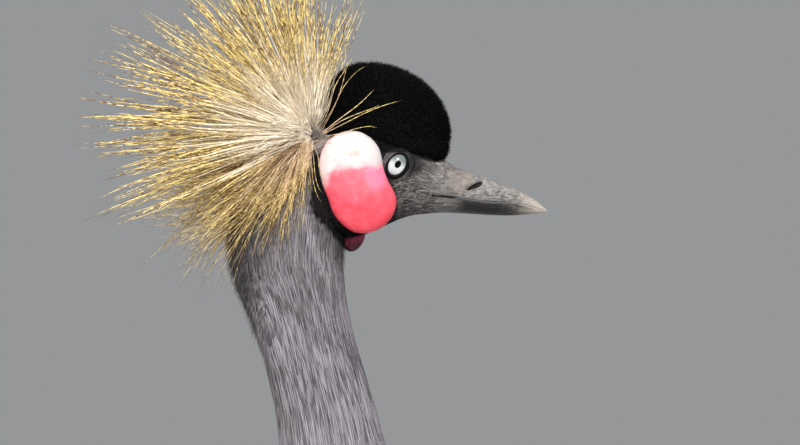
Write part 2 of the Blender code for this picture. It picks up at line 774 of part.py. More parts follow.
def make_wing(side, clear):
    random.seed(11)
    sign = SIDES[side]
    wing = make_wing_core(side)
    upper = (-FLIGHT_SPLIT_DEG, FLIGHT_SPLIT_DEG)
    lower = (FLIGHT_SPLIT_DEG, 360 - FLIGHT_SPLIT_DEG)
    half_part = FLIGHT_PART / 2
    rings = SECONDARY_CORE_RINGS, PRIMARY_CORE_RINGS
    inner = flight_core("secondaries_" + side, sign, rings[0], "chestnut", upper, half_part)
    outer = flight_core("primaries_" + side, sign, rings[1], "black_feather", lower, -half_part)
    first, last, middle, half, thick = PLUME_LOBE
    rings = []
    for k in range(6):
        s = first + (last - first) * k / 5
        reach = math.sin(math.pi * (k + 0.5) / 6) ** 0.5
        arc = [middle + half * reach * (j / 3 - 1) for j in range(7)]
        over = [wing_point(s, turn, thick * (0.55 + 0.45 * reach), sign) for turn in arc]
        rings.append(over + [wing_point(s, turn, -2.0, sign) for turn in reversed(arc)])
    plumes = cut_clear(loft("plumes_" + side, rings, "straw"), [wing, inner, outer])
    lapped, stacked = wing_place(sign, COVERT_ROLL_DEG), wing_place(sign, FLIGHT_ROLL_DEG)
    fuse(wing, [f for rows in COVERTS for f in tier(lapped, rows, 0.05)])
    fuse(inner, [f for rows in SECONDARIES for f in tier(stacked, rows, 0.25, LONG_SHAPE)])
    fuse(outer, [f for rows in PRIMARIES for f in tier(stacked, rows, 0.25, LONG_SHAPE)])
    fuse(plumes, [f for rows in PLUMES for f in tier(lapped, rows, 0.2, PLUME_SHAPE)])
    for node in (wing, inner, outer, plumes):
        cut_clear(node, clear)


def make_tail(torso):
    """A short core, and the closed fan of feathers, the middle ones on top."""
    slope = math.radians(TAIL_SLOPE_DEG)
    along = Vector((-math.cos(slope), 0, -math.sin(slope)))
    up = Vector((-math.sin(slope), 0, math.cos(slope)))
    start = Vector((TAIL_ROOT[0], 0, TAIL_ROOT[1]))
    rings = []
    for share, width, thick in ((0, 15, 12), (0.16, 13, 7), (0.28, 8, 3)):
        centre = start + along * TAIL_LENGTH * share - up * 5
        ring = []
        for j in range(10):
            rise, out = superellipse(2 * math.pi * j / 10, 2.2)
            ring.append(centre + up * thick * rise + Vector((0, width * out, 0)))
        rings.append(ring)
    tail = cut_clear(loft("tail", rings, "black_feather"), [torso])
    feathers = []
    for k in range(TAIL_FEATHERS):
        u = 2 * k / (TAIL_FEATHERS - 1) - 1
        points, normals, widths = [], [], []
        for share, spread in RECTRIX_SHAPE:
            share = 0.1 + 0.9 * share
            y = u * (TAIL_ROOT_HALF_WIDTH + (TAIL_TIP_HALF_WIDTH - TAIL_ROOT_HALF_WIDTH) * share)
            drop = TAIL_TENT * abs(u) + (1.1 if u > 0 else 0.0)
            length = TAIL_LENGTH * (1 - 0.07 * abs(u)) * share
            points.append(start + along * length + Vector((0, y, 0)) - up * drop)
            normals.append(up)
            widths.append(10.0 * spread)
        feathers.append(vane(points, normals, widths))
    return fuse(tail, feathers)


def trunk_place(row, turn, lift):
    """A point of the trunk's outside and its outward normal. turn is 0 at the back, 180 at the breast."""
    x, z, depth, width = at_row(TRUNK, row)
    ahead, behind = at_row(TRUNK, row + 0.05), at_row(TRUNK, row - 0.05)
    along = Vector((ahead[0] - behind[0], 0, ahead[1] - behind[1])).normalized()
    back = Vector((-along.z, 0, along.x))
    c, n = math.cos(math.radians(turn)), math.sin(math.radians(turn))
    normal = (back * (c / depth) + Vector((0, n / width, 0))).normalized()
    return Vector((x, 0, z)) + back * depth * c + Vector((0, width * n, 0)) + normal * lift, normal


def add_hackles(neck):
    random.seed(5)
    feathers = []
    for root, tip, first, last, count, width, root_lift, tip_lift in HACKLES:
        for k in range(count):
            turn = first + (last - first) * k / (count - 1)
            slip = random.uniform(-0.08, 0.08)
            ends = (root + slip, turn, root_lift), (tip + slip, turn, tip_lift)
            feathers.append(surface_feather(trunk_place, *ends, width, HACKLE_SHAPE))
    return fuse(neck, feathers)


# ---------------------------------------------------------------- legs


def limb(name, rows, side, sides, colour, start=0.0, end=0.0):
    """A round limb through rows of x, y, z and radius; its ends are level, and pulled in by the gap."""
    rings = []
    for k, (x, y, z, radius) in enumerate(rows):
        z += -start if k == 0 else (end if k == len(rows) - 1 else 0.0)
        ring = []
        for j in range(sides):
            a = 2 * math.pi * j / sides
            ring.append((x + radius * math.cos(a), SIDES[side] * y + radius * math.sin(a), z))
        rings.append(ring)
    return loft(name, rings, colour)


def tarsus_rows():
    """The tarsus's rows with two more for each scute: its thin upper edge and its proud lower edge."""
    top, bottom = TARSUS[2][2], TARSUS[-2][2]
    rows = [(*row, 0.0) for row in TARSUS[:2]]
    for k in range(SCUTES):
        for share, proud in ((0.0, 0.0), (0.85, 1.0)):
            z = top + (bottom - top) * (k + share) / SCUTES
            x, y, radius = (between([(-row[2], row[i]) for row in TARSUS], -z) for i in (0, 1, 3))
            rows.append((x, y, z, radius, proud))
    return rows + [(*row, 0.0) for row in TARSUS[-2:]]


def make_tarsus(side):
    sides = 10
    rings = []
    rows = tarsus_rows()
    for k, (x, y, z, radius, proud) in enumerate(rows):
        z += GAP if k == len(rows) - 1 else 0.0
        ring = []
        for j in range(sides):
            a = 2 * math.pi * j / sides
            reach = radius + SCUTE_HEIGHT * proud * max(0.0, math.cos(a)) ** 0.5
            ring.append((x + reach * math.cos(a), SIDES[side] * y + reach * math.sin(a), z))
        rings.append(ring)
    return loft("tarsus_" + side, rings, "leg")


def toe_ring(base, heading, reach, width, height):
    """Half an ellipse on a flat sole, across a toe."""
    along = Vector((math.cos(heading), math.sin(heading), 0))
    across = Vector((-math.sin(heading), math.cos(heading), 0))
    ring = []
    for j in range(7):
        a = math.pi * (j / 6)
        up = Vector((0, 0, height * math.sin(a) ** 0.8))
        ring.append(base + along * reach + across * width * math.cos(a) + up)
    return ring


def make_toe(side, which):
    heading, length, width, claw = TOES[which]
    sign = SIDES[side]
    angle = math.radians(heading) * sign
    base = Vector((ANKLE[0], sign * ANKLE[1], 0))
    rings = [toe_ring(base, angle, length * s, width * w, width * h) for s, w, h in TOE_SHAPE]
    toe = loft("toe", rings, "leg")
    tip = base + Vector((math.cos(angle), math.sin(angle), 0)) * (length + GAP)
    claw_rings = []
    for share, radius, lift in ((0.0, 2.6, 3.2), (0.4, 2.1, 3.5), (0.75, 1.3, 2.6), (1.0, 0.35, 1.0)):
        centre = tip + Vector((math.cos(angle), math.sin(angle), 0)) * claw * share + Vector((0, 0, lift))
        across = Vector((-math.sin(angle), math.cos(angle), 0))
        ring = []
        for j in range(6):
            a = 2 * math.pi * j / 6
            up = Vector((0, 0, radius * math.sin(a)))
            ring.append(centre + across * radius * 0.85 * math.cos(a) + up)
        claw_rings.append(ring)
    loft("claw_" + which + "_" + side, claw_rings, "claw")
    return toe


def make_leg(side, torso):
    sign = SIDES[side]
    thigh = limb("thigh_" + side, THIGH, side, 14, "slate", 0.0, GAP)
    cut_clear(thigh, [torso])
    limb("shank_" + side, SHANK, side, 10, "leg", 0.0, GAP)
    make_tarsus(side)
    x, y = ANKLE
    rows = ((x, y, FOOT_HEIGHT, 7.2), (x, y, 18, 7.8), (x, y, 8, 10.0), (x, y, 0, 11.0))
    foot = limb("foot_" + side, rows, side, 12, "leg")
    fuse(foot, [make_toe(side, which) for which in TOES])
    return thigh


# ---------------------------------------------------------------- the whole bird

for old in list(bpy.data.objects):
    bpy.data.objects.remove(old)
PARTS = bpy.data.collections.new("crowned_crane")
CUTTERS = bpy.data.collections.new("cutters")
for collection in (PARTS, CUTTERS):
    bpy.context.scene.collection.children.link(collection)

torso, neck_lower, neck_upper = make_trunk()
head, eyes = make_head()
bill_upper, bill_lower = make_bill()
cap = make_cap(head, bill_upper)
cheeks = [make_cheek(side, head, cap) for side in SIDES]
make_wattle(head, neck_upper, cheeks)
make_crest([head, cap, neck_upper, *cheeks])
thighs = {side: make_leg(side, torso) for side in SIDES}
make_tail(torso)
for side in SIDES:
    make_wing(side, [torso, neck_lower, thighs[side]])
add_hackles(neck_lower)
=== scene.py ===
# %% [markdown]
# # A black crowned crane, dressed over its CAD model
# A museum would stand a life-size model of this bird on its own two feet. The CAD model gives its
# solids; here each of them gets the surface that the real bird has: plumage, bare skin, horn and
# scales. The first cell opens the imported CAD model. Everything made later lies in the same metres,
# and +X is the way the bird looks.

import bpy
import numpy as np
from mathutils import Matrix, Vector
from numpy.random import default_rng


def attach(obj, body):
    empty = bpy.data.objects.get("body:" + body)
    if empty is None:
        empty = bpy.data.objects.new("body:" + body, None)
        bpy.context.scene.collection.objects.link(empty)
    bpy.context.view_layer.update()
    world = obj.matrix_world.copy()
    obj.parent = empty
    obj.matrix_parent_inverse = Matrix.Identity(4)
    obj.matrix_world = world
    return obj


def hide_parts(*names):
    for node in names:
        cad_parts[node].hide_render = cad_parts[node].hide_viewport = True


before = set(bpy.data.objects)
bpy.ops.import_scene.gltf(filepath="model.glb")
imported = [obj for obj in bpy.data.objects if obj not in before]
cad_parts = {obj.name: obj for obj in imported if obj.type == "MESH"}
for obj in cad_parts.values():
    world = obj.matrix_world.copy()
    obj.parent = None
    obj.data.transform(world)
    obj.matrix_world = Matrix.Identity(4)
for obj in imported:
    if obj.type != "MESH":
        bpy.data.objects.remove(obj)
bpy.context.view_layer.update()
MM = 0.001

# %% [markdown]
# ## The bird's measures
# A smooth body is easiest to describe by a few rows: where the middle of a slice is and how large
# the slice is. A cubic curve through the rows fills in the rest, so ten rows are enough for a whole
# trunk. All tables are in millimetres, and those of the head count from the middle of the eye.

# %% Rows of the body and head
EYE = np.array([230.0, 0.0, 955.0])
HUB = EYE + np.array([-44.0, 0, 15.0])  # where the crest is rooted
HUB_SIZE = (9.5, 12.0, 9.5)  # half lengths of the mound there
SIDES = (("right", -1), ("left", 1))  # +Y is the bird's left

# centre x, centre z, half depth, half width, from the tail root up to the nape
TRUNK = np.array([
    (-155, 405, 16, 20), (-112, 427, 38, 38), (-58, 452, 61, 52), (6, 479, 80, 61),
    (76, 510, 90, 66), (140, 548, 88, 65), (184, 594, 74, 56), (204, 641, 57, 46),
    (211, 683, 44, 37), (209, 723, 35, 31), (203, 763, 30, 27), (195, 806, 27.8, 25),
    (190, 832, 25.4, 23.5), (183, 858, 24.2, 22.5), (177, 882, 25.6, 23), (171.5, 905, 29, 24.5),
    (172, 930, 29.5, 24), (178, 950, 23, 20), (184, 962, 12, 12)])

# x, top z, bottom z, half width, from the back of the skull on into the root of the bill
HEAD = np.array([
    (-61, -4, -20, 8), (-52, 8, -31, 15), (-39, 16, -37.5, 18.5), (-25, 22, -38.5, 19.5),
    (-12, 25, -34, 19), (0, 23, -28.8, 17.6), (8, 17, -26.4, 15.6), (17, 7.2, -25.4, 12.6),
    (23, 2.6, -25, 10.4), (31, -2.4, -24.6, 8.2)])

# x, ridge z, mouth z, keel z, half width at the mouth
BILL = np.array([
    (17, 7, -16.4, -25.2, 12.2), (25, 2.2, -16.8, -25.3, 10.6), (33, -1.8, -17.8, -25.6, 9),
    (41, -5, -18.9, -26.1, 7.8), (50, -7.8, -19.8, -26.6, 6.7), (59, -11.2, -20.3, -26.8, 5.5),
    (67, -15.2, -21.1, -26.3, 4.1), (74, -19.6, -23, -25.6, 2.4), (79, -24, -24.3, -24.8, 0.6)])

# x, y, z, half height, half thickness, lean: the folded wing from wrist to tip, on the left
WING = np.array([
    (244, 44, 606, 10, 6, 10), (226, 54, 598, 32, 14, 14), (186, 62, 578, 56, 20, 18),
    (116, 66, 546, 73, 24, 22), (40, 63, 513, 77, 25, 22), (-34, 54, 474, 72, 23, 20),
    (-104, 44, 428, 61, 19, 14), (-166, 37, 378, 47, 14, 8), (-222, 33, 326, 29, 9, 4),
    (-268, 30, 282, 16, 5, 2)], float)

# x, y, z, radius, on the left
THIGH = np.array([
    (90, 44, 468, 34), (82, 46, 430, 33), (67, 47, 385, 24), (54, 47, 345, 14),
    (48, 47, 322, 9.5)])


def at_row(table, row):
    """A table read between its rows, on the cubic Hermite curve through them.

    (1+2t)(1-t)^2 p + t(1-t)^2 m + t^2(3-2t) q + t^2(t-1) n, where p and q are the rows on either
    side, t is the share of the way from p to q, and m and n are the slopes there: half the step
    from the row before to the row after. Past either end the table runs straight on.
    """
    asked = np.asarray(row, float)
    row = np.clip(asked, 0, len(table) - 1)
    i = np.minimum(row.astype(int), len(table) - 2)
    t = (row - i)[..., None]
    p, q = table[i], table[i + 1]
    m = (q - table[np.maximum(i - 1, 0)]) / np.where(i > 0, 2, 1)[..., None]
    n = table[np.minimum(i + 2, len(table) - 1)] - p
    n = n / np.where(i + 2 < len(table), 2, 1)[..., None]
    past = (asked - row)[..., None]
    end = np.where(past < 0, table[1] - table[0], table[-1] - table[-2])
    return ((1 + 2 * t) * (1 - t) ** 2 * p + t * (1 - t) ** 2 * m
            + t * t * (3 - 2 * t) * q + t * t * (t - 1) * n + past * end)


print("the neck is", at_row(TRUNK, 13.0)[3] * 2, "mm wide at its thinnest")

# %% [markdown]
# ## Surfaces as functions
# Each form is a function of two numbers, a row along it and a turn around it, and gives a point.
# With whole arrays of rows and turns it gives whole arrays of points, so there is never a loop
# over vertices. Plumage needs the direction outwards as well. It needn't be worked out by hand: two
# small steps on the surface span a plane, and their cross product stands square on it.

# %% Points and directions on a surface
STEP, SMALL_STEP = 0.05, 0.03  # in rows: how far to either side a direction is read
TRUNK_POWER, SKULL_POWER = 2.1, 2.5  # how square their slices are; 2 is an ellipse


def unit(vectors):
    """Vectors divided by their own length."""
    return vectors / np.maximum(np.linalg.norm(vectors, axis=-1, keepdims=True), 1e-9)


def course(table, row):
    """How a table changes at a row: its value a step further on minus its value a step back."""
    return at_row(table, row + STEP) - at_row(table, row - STEP)


def ring(turn, power=2.0):
    """Cosine and sine of degrees, each to the power 2/power with its sign kept: a superellipse."""
    c, s = np.cos(np.radians(turn)), np.sin(np.radians(turn))
    return np.sign(c) * np.abs(c) ** (2 / power), np.sign(s) * np.abs(s) ** (2 / power)


def trunk(row, turn):
    """centre + back * depth * cos + left * width * sin; turn 0 is the back and 180 the breast."""
    x, z, depth, width = np.moveaxis(at_row(TRUNK, row), -1, 0)
    run = unit(course(TRUNK, row)[..., :2])
    c, s = ring(turn, TRUNK_POWER)
    return np.stack([x - run[..., 1] * depth * c, width * s, z + run[..., 0] * depth * c], -1)


def skull(row, turn):
    """Slices square to the bill: turn 0 is the crown, 90 the left cheek, 180 the throat."""
    x, top, bottom, width = np.moveaxis(at_row(HEAD, row), -1, 0)
    c, s = ring(turn, SKULL_POWER)
    return EYE + np.stack([x, width * s, (top + bottom) / 2 + (top - bottom) / 2 * c], -1)


def folded_wing(side):
    """The folded wing of one side, 1 left or -1 right: turn 0 is its top edge, 90 its outside."""
    def surface(row, turn):
        """centre + up * half height * cos + out * half thickness * sin, both leaning inwards."""
        x, y, z, height, thick, lean = np.moveaxis(at_row(WING, row), -1, 0)
        run = unit(course(WING, row)[..., :3] * (1, side, 1))
        out = unit(np.array([0, side, 0]) - run * run[..., 1:2] * side)
        up = np.cross(run, out)
        up = up * np.sign(up[..., 2:3])
        tilt = np.radians(lean)[..., None]
        up, out = up * np.cos(tilt) - out * np.sin(tilt), out * np.cos(tilt) + up * np.sin(tilt)
        c, s = ring(turn)
        centre = np.stack([x, side * y, z], -1)
        return centre + up * (height * c)[..., None] + out * (thick * s)[..., None]
    return surface


def limb(table, side):
    """A round limb through rows of x, y, z, radius; turn 0 is its front."""
    def surface(row, turn):
        """centre + radius * (cos, sin) in a level plane."""
        x, y, z, radius = np.moveaxis(at_row(table, row), -1, 0)
        c, s = ring(turn)
        return np.stack([x + radius * c, side * y + radius * s, z], -1)
    return surface


def outward(surface, row, turn, sign=1):
    """The surface's outward direction: a small step in row crossed with one of a degree in turn."""
    along = surface(row + SMALL_STEP, turn) - surface(row - SMALL_STEP, turn)
    around = surface(row, turn + 1) - surface(row, turn - 1)
    return unit(np.cross(along, around)) * sign


def hub_ball(row, turn):
    """The mound at the back of the crown that carries the crest: latitude row, longitude turn."""
    c, s = ring(turn)
    up, out = ring(row)
    return HUB + np.stack([HUB_SIZE[0] * out * c, HUB_SIZE[1] * out * s, HUB_SIZE[2] * up], -1)


def grid(first, last, rows, sides):
    """Rows from first to last, each with turns all the way round, as two arrays."""
    return np.meshgrid(np.linspace(first, last, rows), np.arange(sides) * 360 / sides,
                       indexing="ij")


def form_of(surface, first, last, rows, sides, inset, sign=1):
    """Rings of points on a surface, sunk into it by inset millimetres."""
    row, turn = grid(first, last, rows, sides)
    return surface(row, turn) - outward(surface, row, turn, sign) * inset


print("the crown is at z =", skull(np.array([4.0]), np.array([0.0]))[0, 2], "mm")

# %% [markdown]
# ## From arrays to a mesh
# Blender takes a mesh as flat lists: coordinates, corners and the first corner of each face.
# foreach_set hands them over in one go, which is much faster than adding vertices one by one. A
# closed skin over rings is quads between neighbouring rings and a fan on each end. If its signed
# volume comes out negative, its faces point inwards, and turning every face round repairs that.

# %% Shapes, and the one way they become pieces
def signed_volume(points, triangles):
    """A sixth of the sum of a . (b x c) over the triangles: positive when they face outwards."""
    a, b, c = (points[triangles[:, k]] for k in range(3))
    return np.einsum("ij,ij->i", a, np.cross(b, c)).sum() / 6


def shaped(points, quads, triangles, along, across):
    """A closed shape, its faces turned round if they face inwards; its tone is 0.5, the share
    along it and the share across."""
    flat = np.concatenate([quads[:, [0, 1, 2]], quads[:, [0, 2, 3]], triangles])
    if signed_volume(points - points.mean(0), flat) < 0:
        quads, triangles = quads[:, ::-1], triangles[:, ::-1]
    tone = np.stack([np.full(len(points), 0.5), along, across, np.ones(len(points))], -1)
    return {"points": points, "quads": quads, "triangles": triangles, "tone": tone,
            "patch": np.stack([across, along], -1) * 0.9 + 0.05}


def lofted(rings):
    """A closed shape over rings (rows, sides, 3): quads between them and a fan on each end."""
    rows, sides, _ = rings.shape
    index = np.arange(rows * sides).reshape(rows, sides)
    turned = np.roll(index, -1, axis=1)
    quads = np.stack([index[:-1], turned[:-1], turned[1:], index[1:]], -1).reshape(-1, 4)
    first, last = rows * sides, rows * sides + 1
    ends = np.concatenate([
        np.stack([turned[0], index[0], np.full(sides, first)], -1),
        np.stack([index[-1], turned[-1], np.full(sides, last)], -1)])
    middles = np.stack([rings[0].mean(0), rings[-1].mean(0)])
    points = np.concatenate([rings.reshape(-1, 3), middles])
    along = np.append(np.repeat(np.linspace(0, 1, rows), sides), [0, 1])
    across = np.append(np.tile(np.arange(sides) / sides, rows), [0.5, 0.5])
    return shaped(points, quads, ends, along, across)


def joined(*shapes):
    """Several shapes as one, each one's faces counted on from the points before it."""
    starts = np.cumsum([0] + [len(s["points"]) for s in shapes])
    together = {k: np.concatenate([s[k] for s in shapes]) for k in ("points", "tone", "patch")}
    for k in ("quads", "triangles"):
        together[k] = np.concatenate([s[k] + n for s, n in zip(shapes, starts)])
    return together


def piece(name, shape, finish, nodes=(), sharp=None):
    """A shape in millimetres made an object that rides with the bird and stands for CAD nodes."""
    mesh = bpy.data.meshes.new(name)
    corners = np.concatenate([shape["quads"].ravel(), shape["triangles"].ravel()])
    sizes = np.repeat([4, 3], [len(shape["quads"]), len(shape["triangles"])])
    mesh.vertices.add(len(shape["points"]))
    mesh.vertices.foreach_set("co", (shape["points"] * MM).astype(np.float32).ravel())
    mesh.loops.add(len(corners))
    mesh.loops.foreach_set("vertex_index", corners.astype(np.int32))
    mesh.polygons.add(len(sizes))
    mesh.polygons.foreach_set("loop_start", (np.cumsum(sizes) - sizes).astype(np.int32))
    mesh.update(calc_edges=True)
    tone = mesh.attributes.new("tone", "FLOAT_COLOR", "POINT")
    tone.data.foreach_set("color", shape["tone"].astype(np.float32).ravel())
    patch = mesh.uv_layers.new(name="OFBake")
    patch.data.foreach_set("uv", shape["patch"][corners].astype(np.float32).ravel())
    mesh.shade_smooth()
    if sharp:
        mesh.set_sharp_from_angle(angle=np.radians(sharp))
    mesh.materials.append(finish)
    return placed(linked(name, mesh), nodes)


def linked(name, data):
    """An object round a mesh, a lamp or a camera, put into the scene."""
    made = bpy.data.objects.new(name, data)
    bpy.context.scene.collection.objects.link(made)
    return made


def placed(made, nodes):
    """Says what a piece rides on and which CAD nodes it stands for, and prints its triangles."""
    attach(made, "root")
    if nodes:
        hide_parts(*nodes)
    faces = np.zeros(len(made.data.polygons), np.int32)
    made.data.polygons.foreach_get("loop_total", faces)
    print(f"{made.name}: {int((faces - 2).sum())} triangles")
    return made


# %% [markdown]
# ## Materials as sums
# A finish is mostly arithmetic: how dark, how far along the feather, how near the eye. Wrapping a
# node's output in a small class lets Python's own + - * / add the Math nodes, so that a finish
# reads like a sum. Numbers use Math nodes. Colours are blended by a Mix node, because Math would
# turn them grey.

# %% A wire, and a finish built from wires
class Wire:
    """The output of a shader node. Sums on it add Math nodes, or Vector Math nodes to a vector."""

    def __init__(self, finish, socket):
        self.finish, self.socket = finish, socket

    def math(self, operation, *values):
        """This wire and other values through one Math node, or Vector Math for a vector."""
        kind = "VectorMath" if self.socket.type == "VECTOR" else "Math"
        return self.finish.node(kind, {"operation": operation}, dict(enumerate([self, *values])),
                                "Value" if operation == "LENGTH" else 0)

    def __add__(self, other):
        return self.math("ADD", other)

    def __sub__(self, other):
        return self.math("SUBTRACT", other)

    def __rsub__(self, other):
        return self.finish.node("Math", {"operation": "SUBTRACT"}, {0: other, 1: self})

    def __mul__(self, other):
        return self.math("MULTIPLY", other)

    def __truediv__(self, other):
        return self.math("DIVIDE", other)

    __radd__, __rmul__ = __add__, __mul__

    def over(self, low, high, to_low=0.0, to_high=1.0):
        """0 below low and 1 above high, with a soft bend at both ends."""
        return self.finish.node("MapRange", {"interpolation_type": "SMOOTHSTEP"}, {
            "Value": self, "From Min": low, "From Max": high, "To Min": to_low, "To Max": to_high})

    def parts(self):
        """The three numbers of a vector."""
        split = self.finish.node("SeparateXYZ", {}, {0: self}).socket.node
        return [Wire(self.finish, output) for output in split.outputs]


class Finish:
    """A material on its way: one Principled shader, and one method that adds any other node."""

    def __init__(self, name):
        self.material = bpy.data.materials.new(name)
        self.material.use_nodes = True
        self.tree = self.material.node_tree
        self.shader = self.tree.nodes["Principled BSDF"]

    def put(self, socket, value):
        """Links a wire to a socket, or writes a plain value on it."""
        if isinstance(value, Wire):
            self.tree.links.new(value.socket, socket)
        elif socket.type == "RGBA" and len(value) == 3:
            socket.default_value = (*value, 1)
        else:
            socket.default_value = value

    def node(self, kind, settings, inputs, output=0):
        """Adds a node: its settings, then its sockets by name or number; wires one output out."""
        made = self.tree.nodes.new("ShaderNode" + kind)
        for key, value in settings.items():
            setattr(made, key, value)
        for key, value in inputs.items():
            self.put(made.inputs[key], value)
        return Wire(self, made.outputs[output])

    def place(self):
        """The point being shaded, in millimetres from the middle of the eye."""
        spot = self.node("TexCoord", {}, {}, "Object")
        scaled = self.node("VectorMath", {"operation": "SCALE"}, {0: spot, "Scale": 1 / MM})
        return scaled - tuple(EYE)

    def tone(self):
        """What the mesh itself says: a chance number per feather, the share along it and across."""
        colour = self.node("Attribute", {"attribute_name": "tone"}, {}, "Color")
        split = self.node("SeparateColor", {}, {0: colour}).socket.node
        return [Wire(self, output) for output in split.outputs]

    def streaks(self, lean, across, along):
        """Stripes that run up and down: noise at (x + lean * z) and y, drawn out along z."""
        x, y, z = self.place().parts()
        drawn = self.node("CombineXYZ", {}, {0: (x + z * lean) * across, 1: y * across,
                                             2: z * along})
        return self.noise(drawn, 1.0, 2.0, 0.55)

    def noise(self, vector, scale, detail, rough=0.5, distort=0.0):
        """Soft random patches between 0 and 1."""
        return self.node("TexNoise", {"noise_dimensions": "3D"}, {
            "Vector": vector, "Scale": scale, "Detail": detail, "Roughness": rough,
            "Distortion": distort})

    def cells(self, vector, scale):
        """Distance to the nearest border between cells: pores and small scales."""
        return self.node("TexVoronoi", {"feature": "DISTANCE_TO_EDGE"},
                         {"Vector": vector, "Scale": scale})

    def mix(self, share, low, high):
        """The colour low where share is 0 and high where it is 1 (6 and 7 are colour sockets)."""
        return self.node("Mix", {"data_type": "RGBA"}, {0: share, 6: low, 7: high}, 2)

    def shade(self, colour, amount):
        """A colour made lighter or darker by a number."""
        return self.node("VectorMath", {"operation": "SCALE"}, {0: colour, "Scale": amount})

    def end(self, colour, rough, bump=None, strength=0.3, depth=0.3, **fixed):
        """Puts the results on the shader and gives the material back."""
        self.put(self.shader.inputs["Base Color"], colour)
        self.put(self.shader.inputs["Roughness"], rough)
        if bump is not None:
            self.put(self.shader.inputs["Normal"], self.node("Bump", {}, {
                "Strength": strength, "Distance": depth * MM, "Height": bump}))
        for key, value in fixed.items():
            self.put(self.shader.inputs[key.replace("_", " ")], value)
        return self.material


# %% [markdown]
# ## Feathers and hairs as solid blades
# A feather seen from nearby is a thin blade with a raised shaft. Three points to a row are enough
# for a small one: left edge, shaft, right edge. The underside closes it, so each blade is a real
# solid that could be printed. Hundreds of them are made together: the arrays hold (blade, row,
# corner), and one pattern of faces is repeated for all. Each blade also gets a chance number, which
# its finish uses to make neighbours differ.

# %% Blades along lines
# sections of a blade: across in half widths, up in heights
RIDGE = np.array([(-1, 0), (0, 1), (1, 0)], float)
QUILL = np.array([(-1, -0.2), (0, 1), (1, -0.2), (0, 0.1)])
HAIR = np.array([(-0.87, -0.5), (0, 1), (0.87, -0.5)])

# outlines: share of the way from root to tip, and the width there
LANCE = np.array([(0, 0.55), (0.3, 1), (0.68, 0.78), (1, 0)])
STRAND = np.array([(0, 1), (0.5, 0.75), (1, 0)])
TUFT = np.array([(0, 1), (1, 0)])
BODY_FEATHER = np.array([(0, 0.5), (0.35, 0.95), (0.66, 1), (0.88, 0.7), (1, 0)])
COVERT = np.array([(0, 0.5), (0.25, 0.85), (0.5, 1), (0.75, 0.95), (0.92, 0.62), (1, 0)])
FLIGHT = np.array([(0, 0.4), (0.12, 0.8), (0.3, 1), (0.5, 0.98), (0.7, 0.88), (0.85, 0.7),
                   (0.95, 0.42), (1, 0)])


def blades(points, normals, widths, heights, chance, roots, profile=RIDGE):
    """Solid blades. points and normals are (blades, rows, 3), widths and heights (blades, rows-1).

    A corner is point + across * width * a + rise * height * b for each (a, b) of the profile, where
    across = along x normal and rise = across x along. The last row is a single point, the tip.
    """
    count, rows, _ = points.shape
    sides = len(profile)
    along = unit(np.gradient(points, axis=1))
    across = unit(np.cross(along, normals))
    rise = np.cross(across, along)
    a, b = profile[:, 0], profile[:, 1]
    corners = (points[:, :-1, None]
               + across[:, :-1, None] * (widths[..., None] * a)[..., None]
               + rise[:, :-1, None] * (heights[..., None] * b)[..., None])
    flat = np.concatenate([corners.reshape(count, -1, 3), points[:, -1:]], axis=1)
    each = (rows - 1) * sides + 1
    row, k = np.meshgrid(np.arange(rows - 2) * sides, np.arange(sides), indexing="ij")
    n = (k + 1) % sides
    quads = np.stack([row + k, row + n, row + n + sides, row + k + sides], -1).reshape(-1, 4)
    k, last = np.arange(sides), (rows - 2) * sides
    tip = np.stack([last + k, last + (k + 1) % sides, np.full(sides, each - 1)], -1)
    root = np.array([(0, j + 1, j) for j in range(1, sides - 1)])
    ends = np.concatenate([tip, root])
    shift = (np.arange(count) * each)[:, None, None]
    share = np.append(np.repeat(np.arange(rows - 1) / (rows - 1), sides), 1)
    wide = np.append(np.tile((a + 1) / 2, rows - 1), 0.5)
    tone = np.ones((count, each, 4))
    tone[..., 0], tone[..., 1], tone[..., 2] = chance[:, None], share, wide
    patch = roots[:, None] + 0.003 * np.stack([wide - 0.5, share - 0.5], -1)
    return {"points": flat.reshape(-1, 3), "quads": (quads + shift).reshape(-1, 4),
            "triangles": (ends + shift).reshape(-1, 3), "tone": tone.reshape(-1, 4),
            "patch": patch.reshape(-1, 2)}


GOLDEN = (0.7548776662, 0.5698402910)  # 1 / g and 1 / g^2, where g^3 = g + 1
STRIPS, SLICES = 160, 40  # how finely the area under a coat is measured


def scattered(surface, count, rows, turns=(0.0, 360.0)):
    """Roots spread evenly over a surface: (0.5 + k / g, 0.5 + k / g^2), whole parts dropped, of
    which the first draws the row, by the area of each strip, and the second the turn."""
    k = np.arange(count)
    fine = np.linspace(*rows, STRIPS)
    points = surface(*np.meshgrid(fine, np.linspace(*turns, SLICES), indexing="ij"))
    girth = np.linalg.norm(np.diff(points, axis=1), axis=-1).sum(1)
    pace = np.linalg.norm(np.gradient(points, axis=0), axis=-1).mean(1)
    total = np.cumsum(girth * pace)
    drawn = np.interp((0.5 + k * GOLDEN[0]) % 1, total / total[-1], fine)
    return drawn, turns[0] + (turns[1] - turns[0]) * ((0.5 + k * GOLDEN[1]) % 1)


def rolled(points, normals, roll):
    """The normals of blades turned about the blades' own lines by roll degrees."""
    c, s = ring(roll)
    return normals * c + unit(np.cross(unit(np.gradient(points, axis=1)), normals)) * s


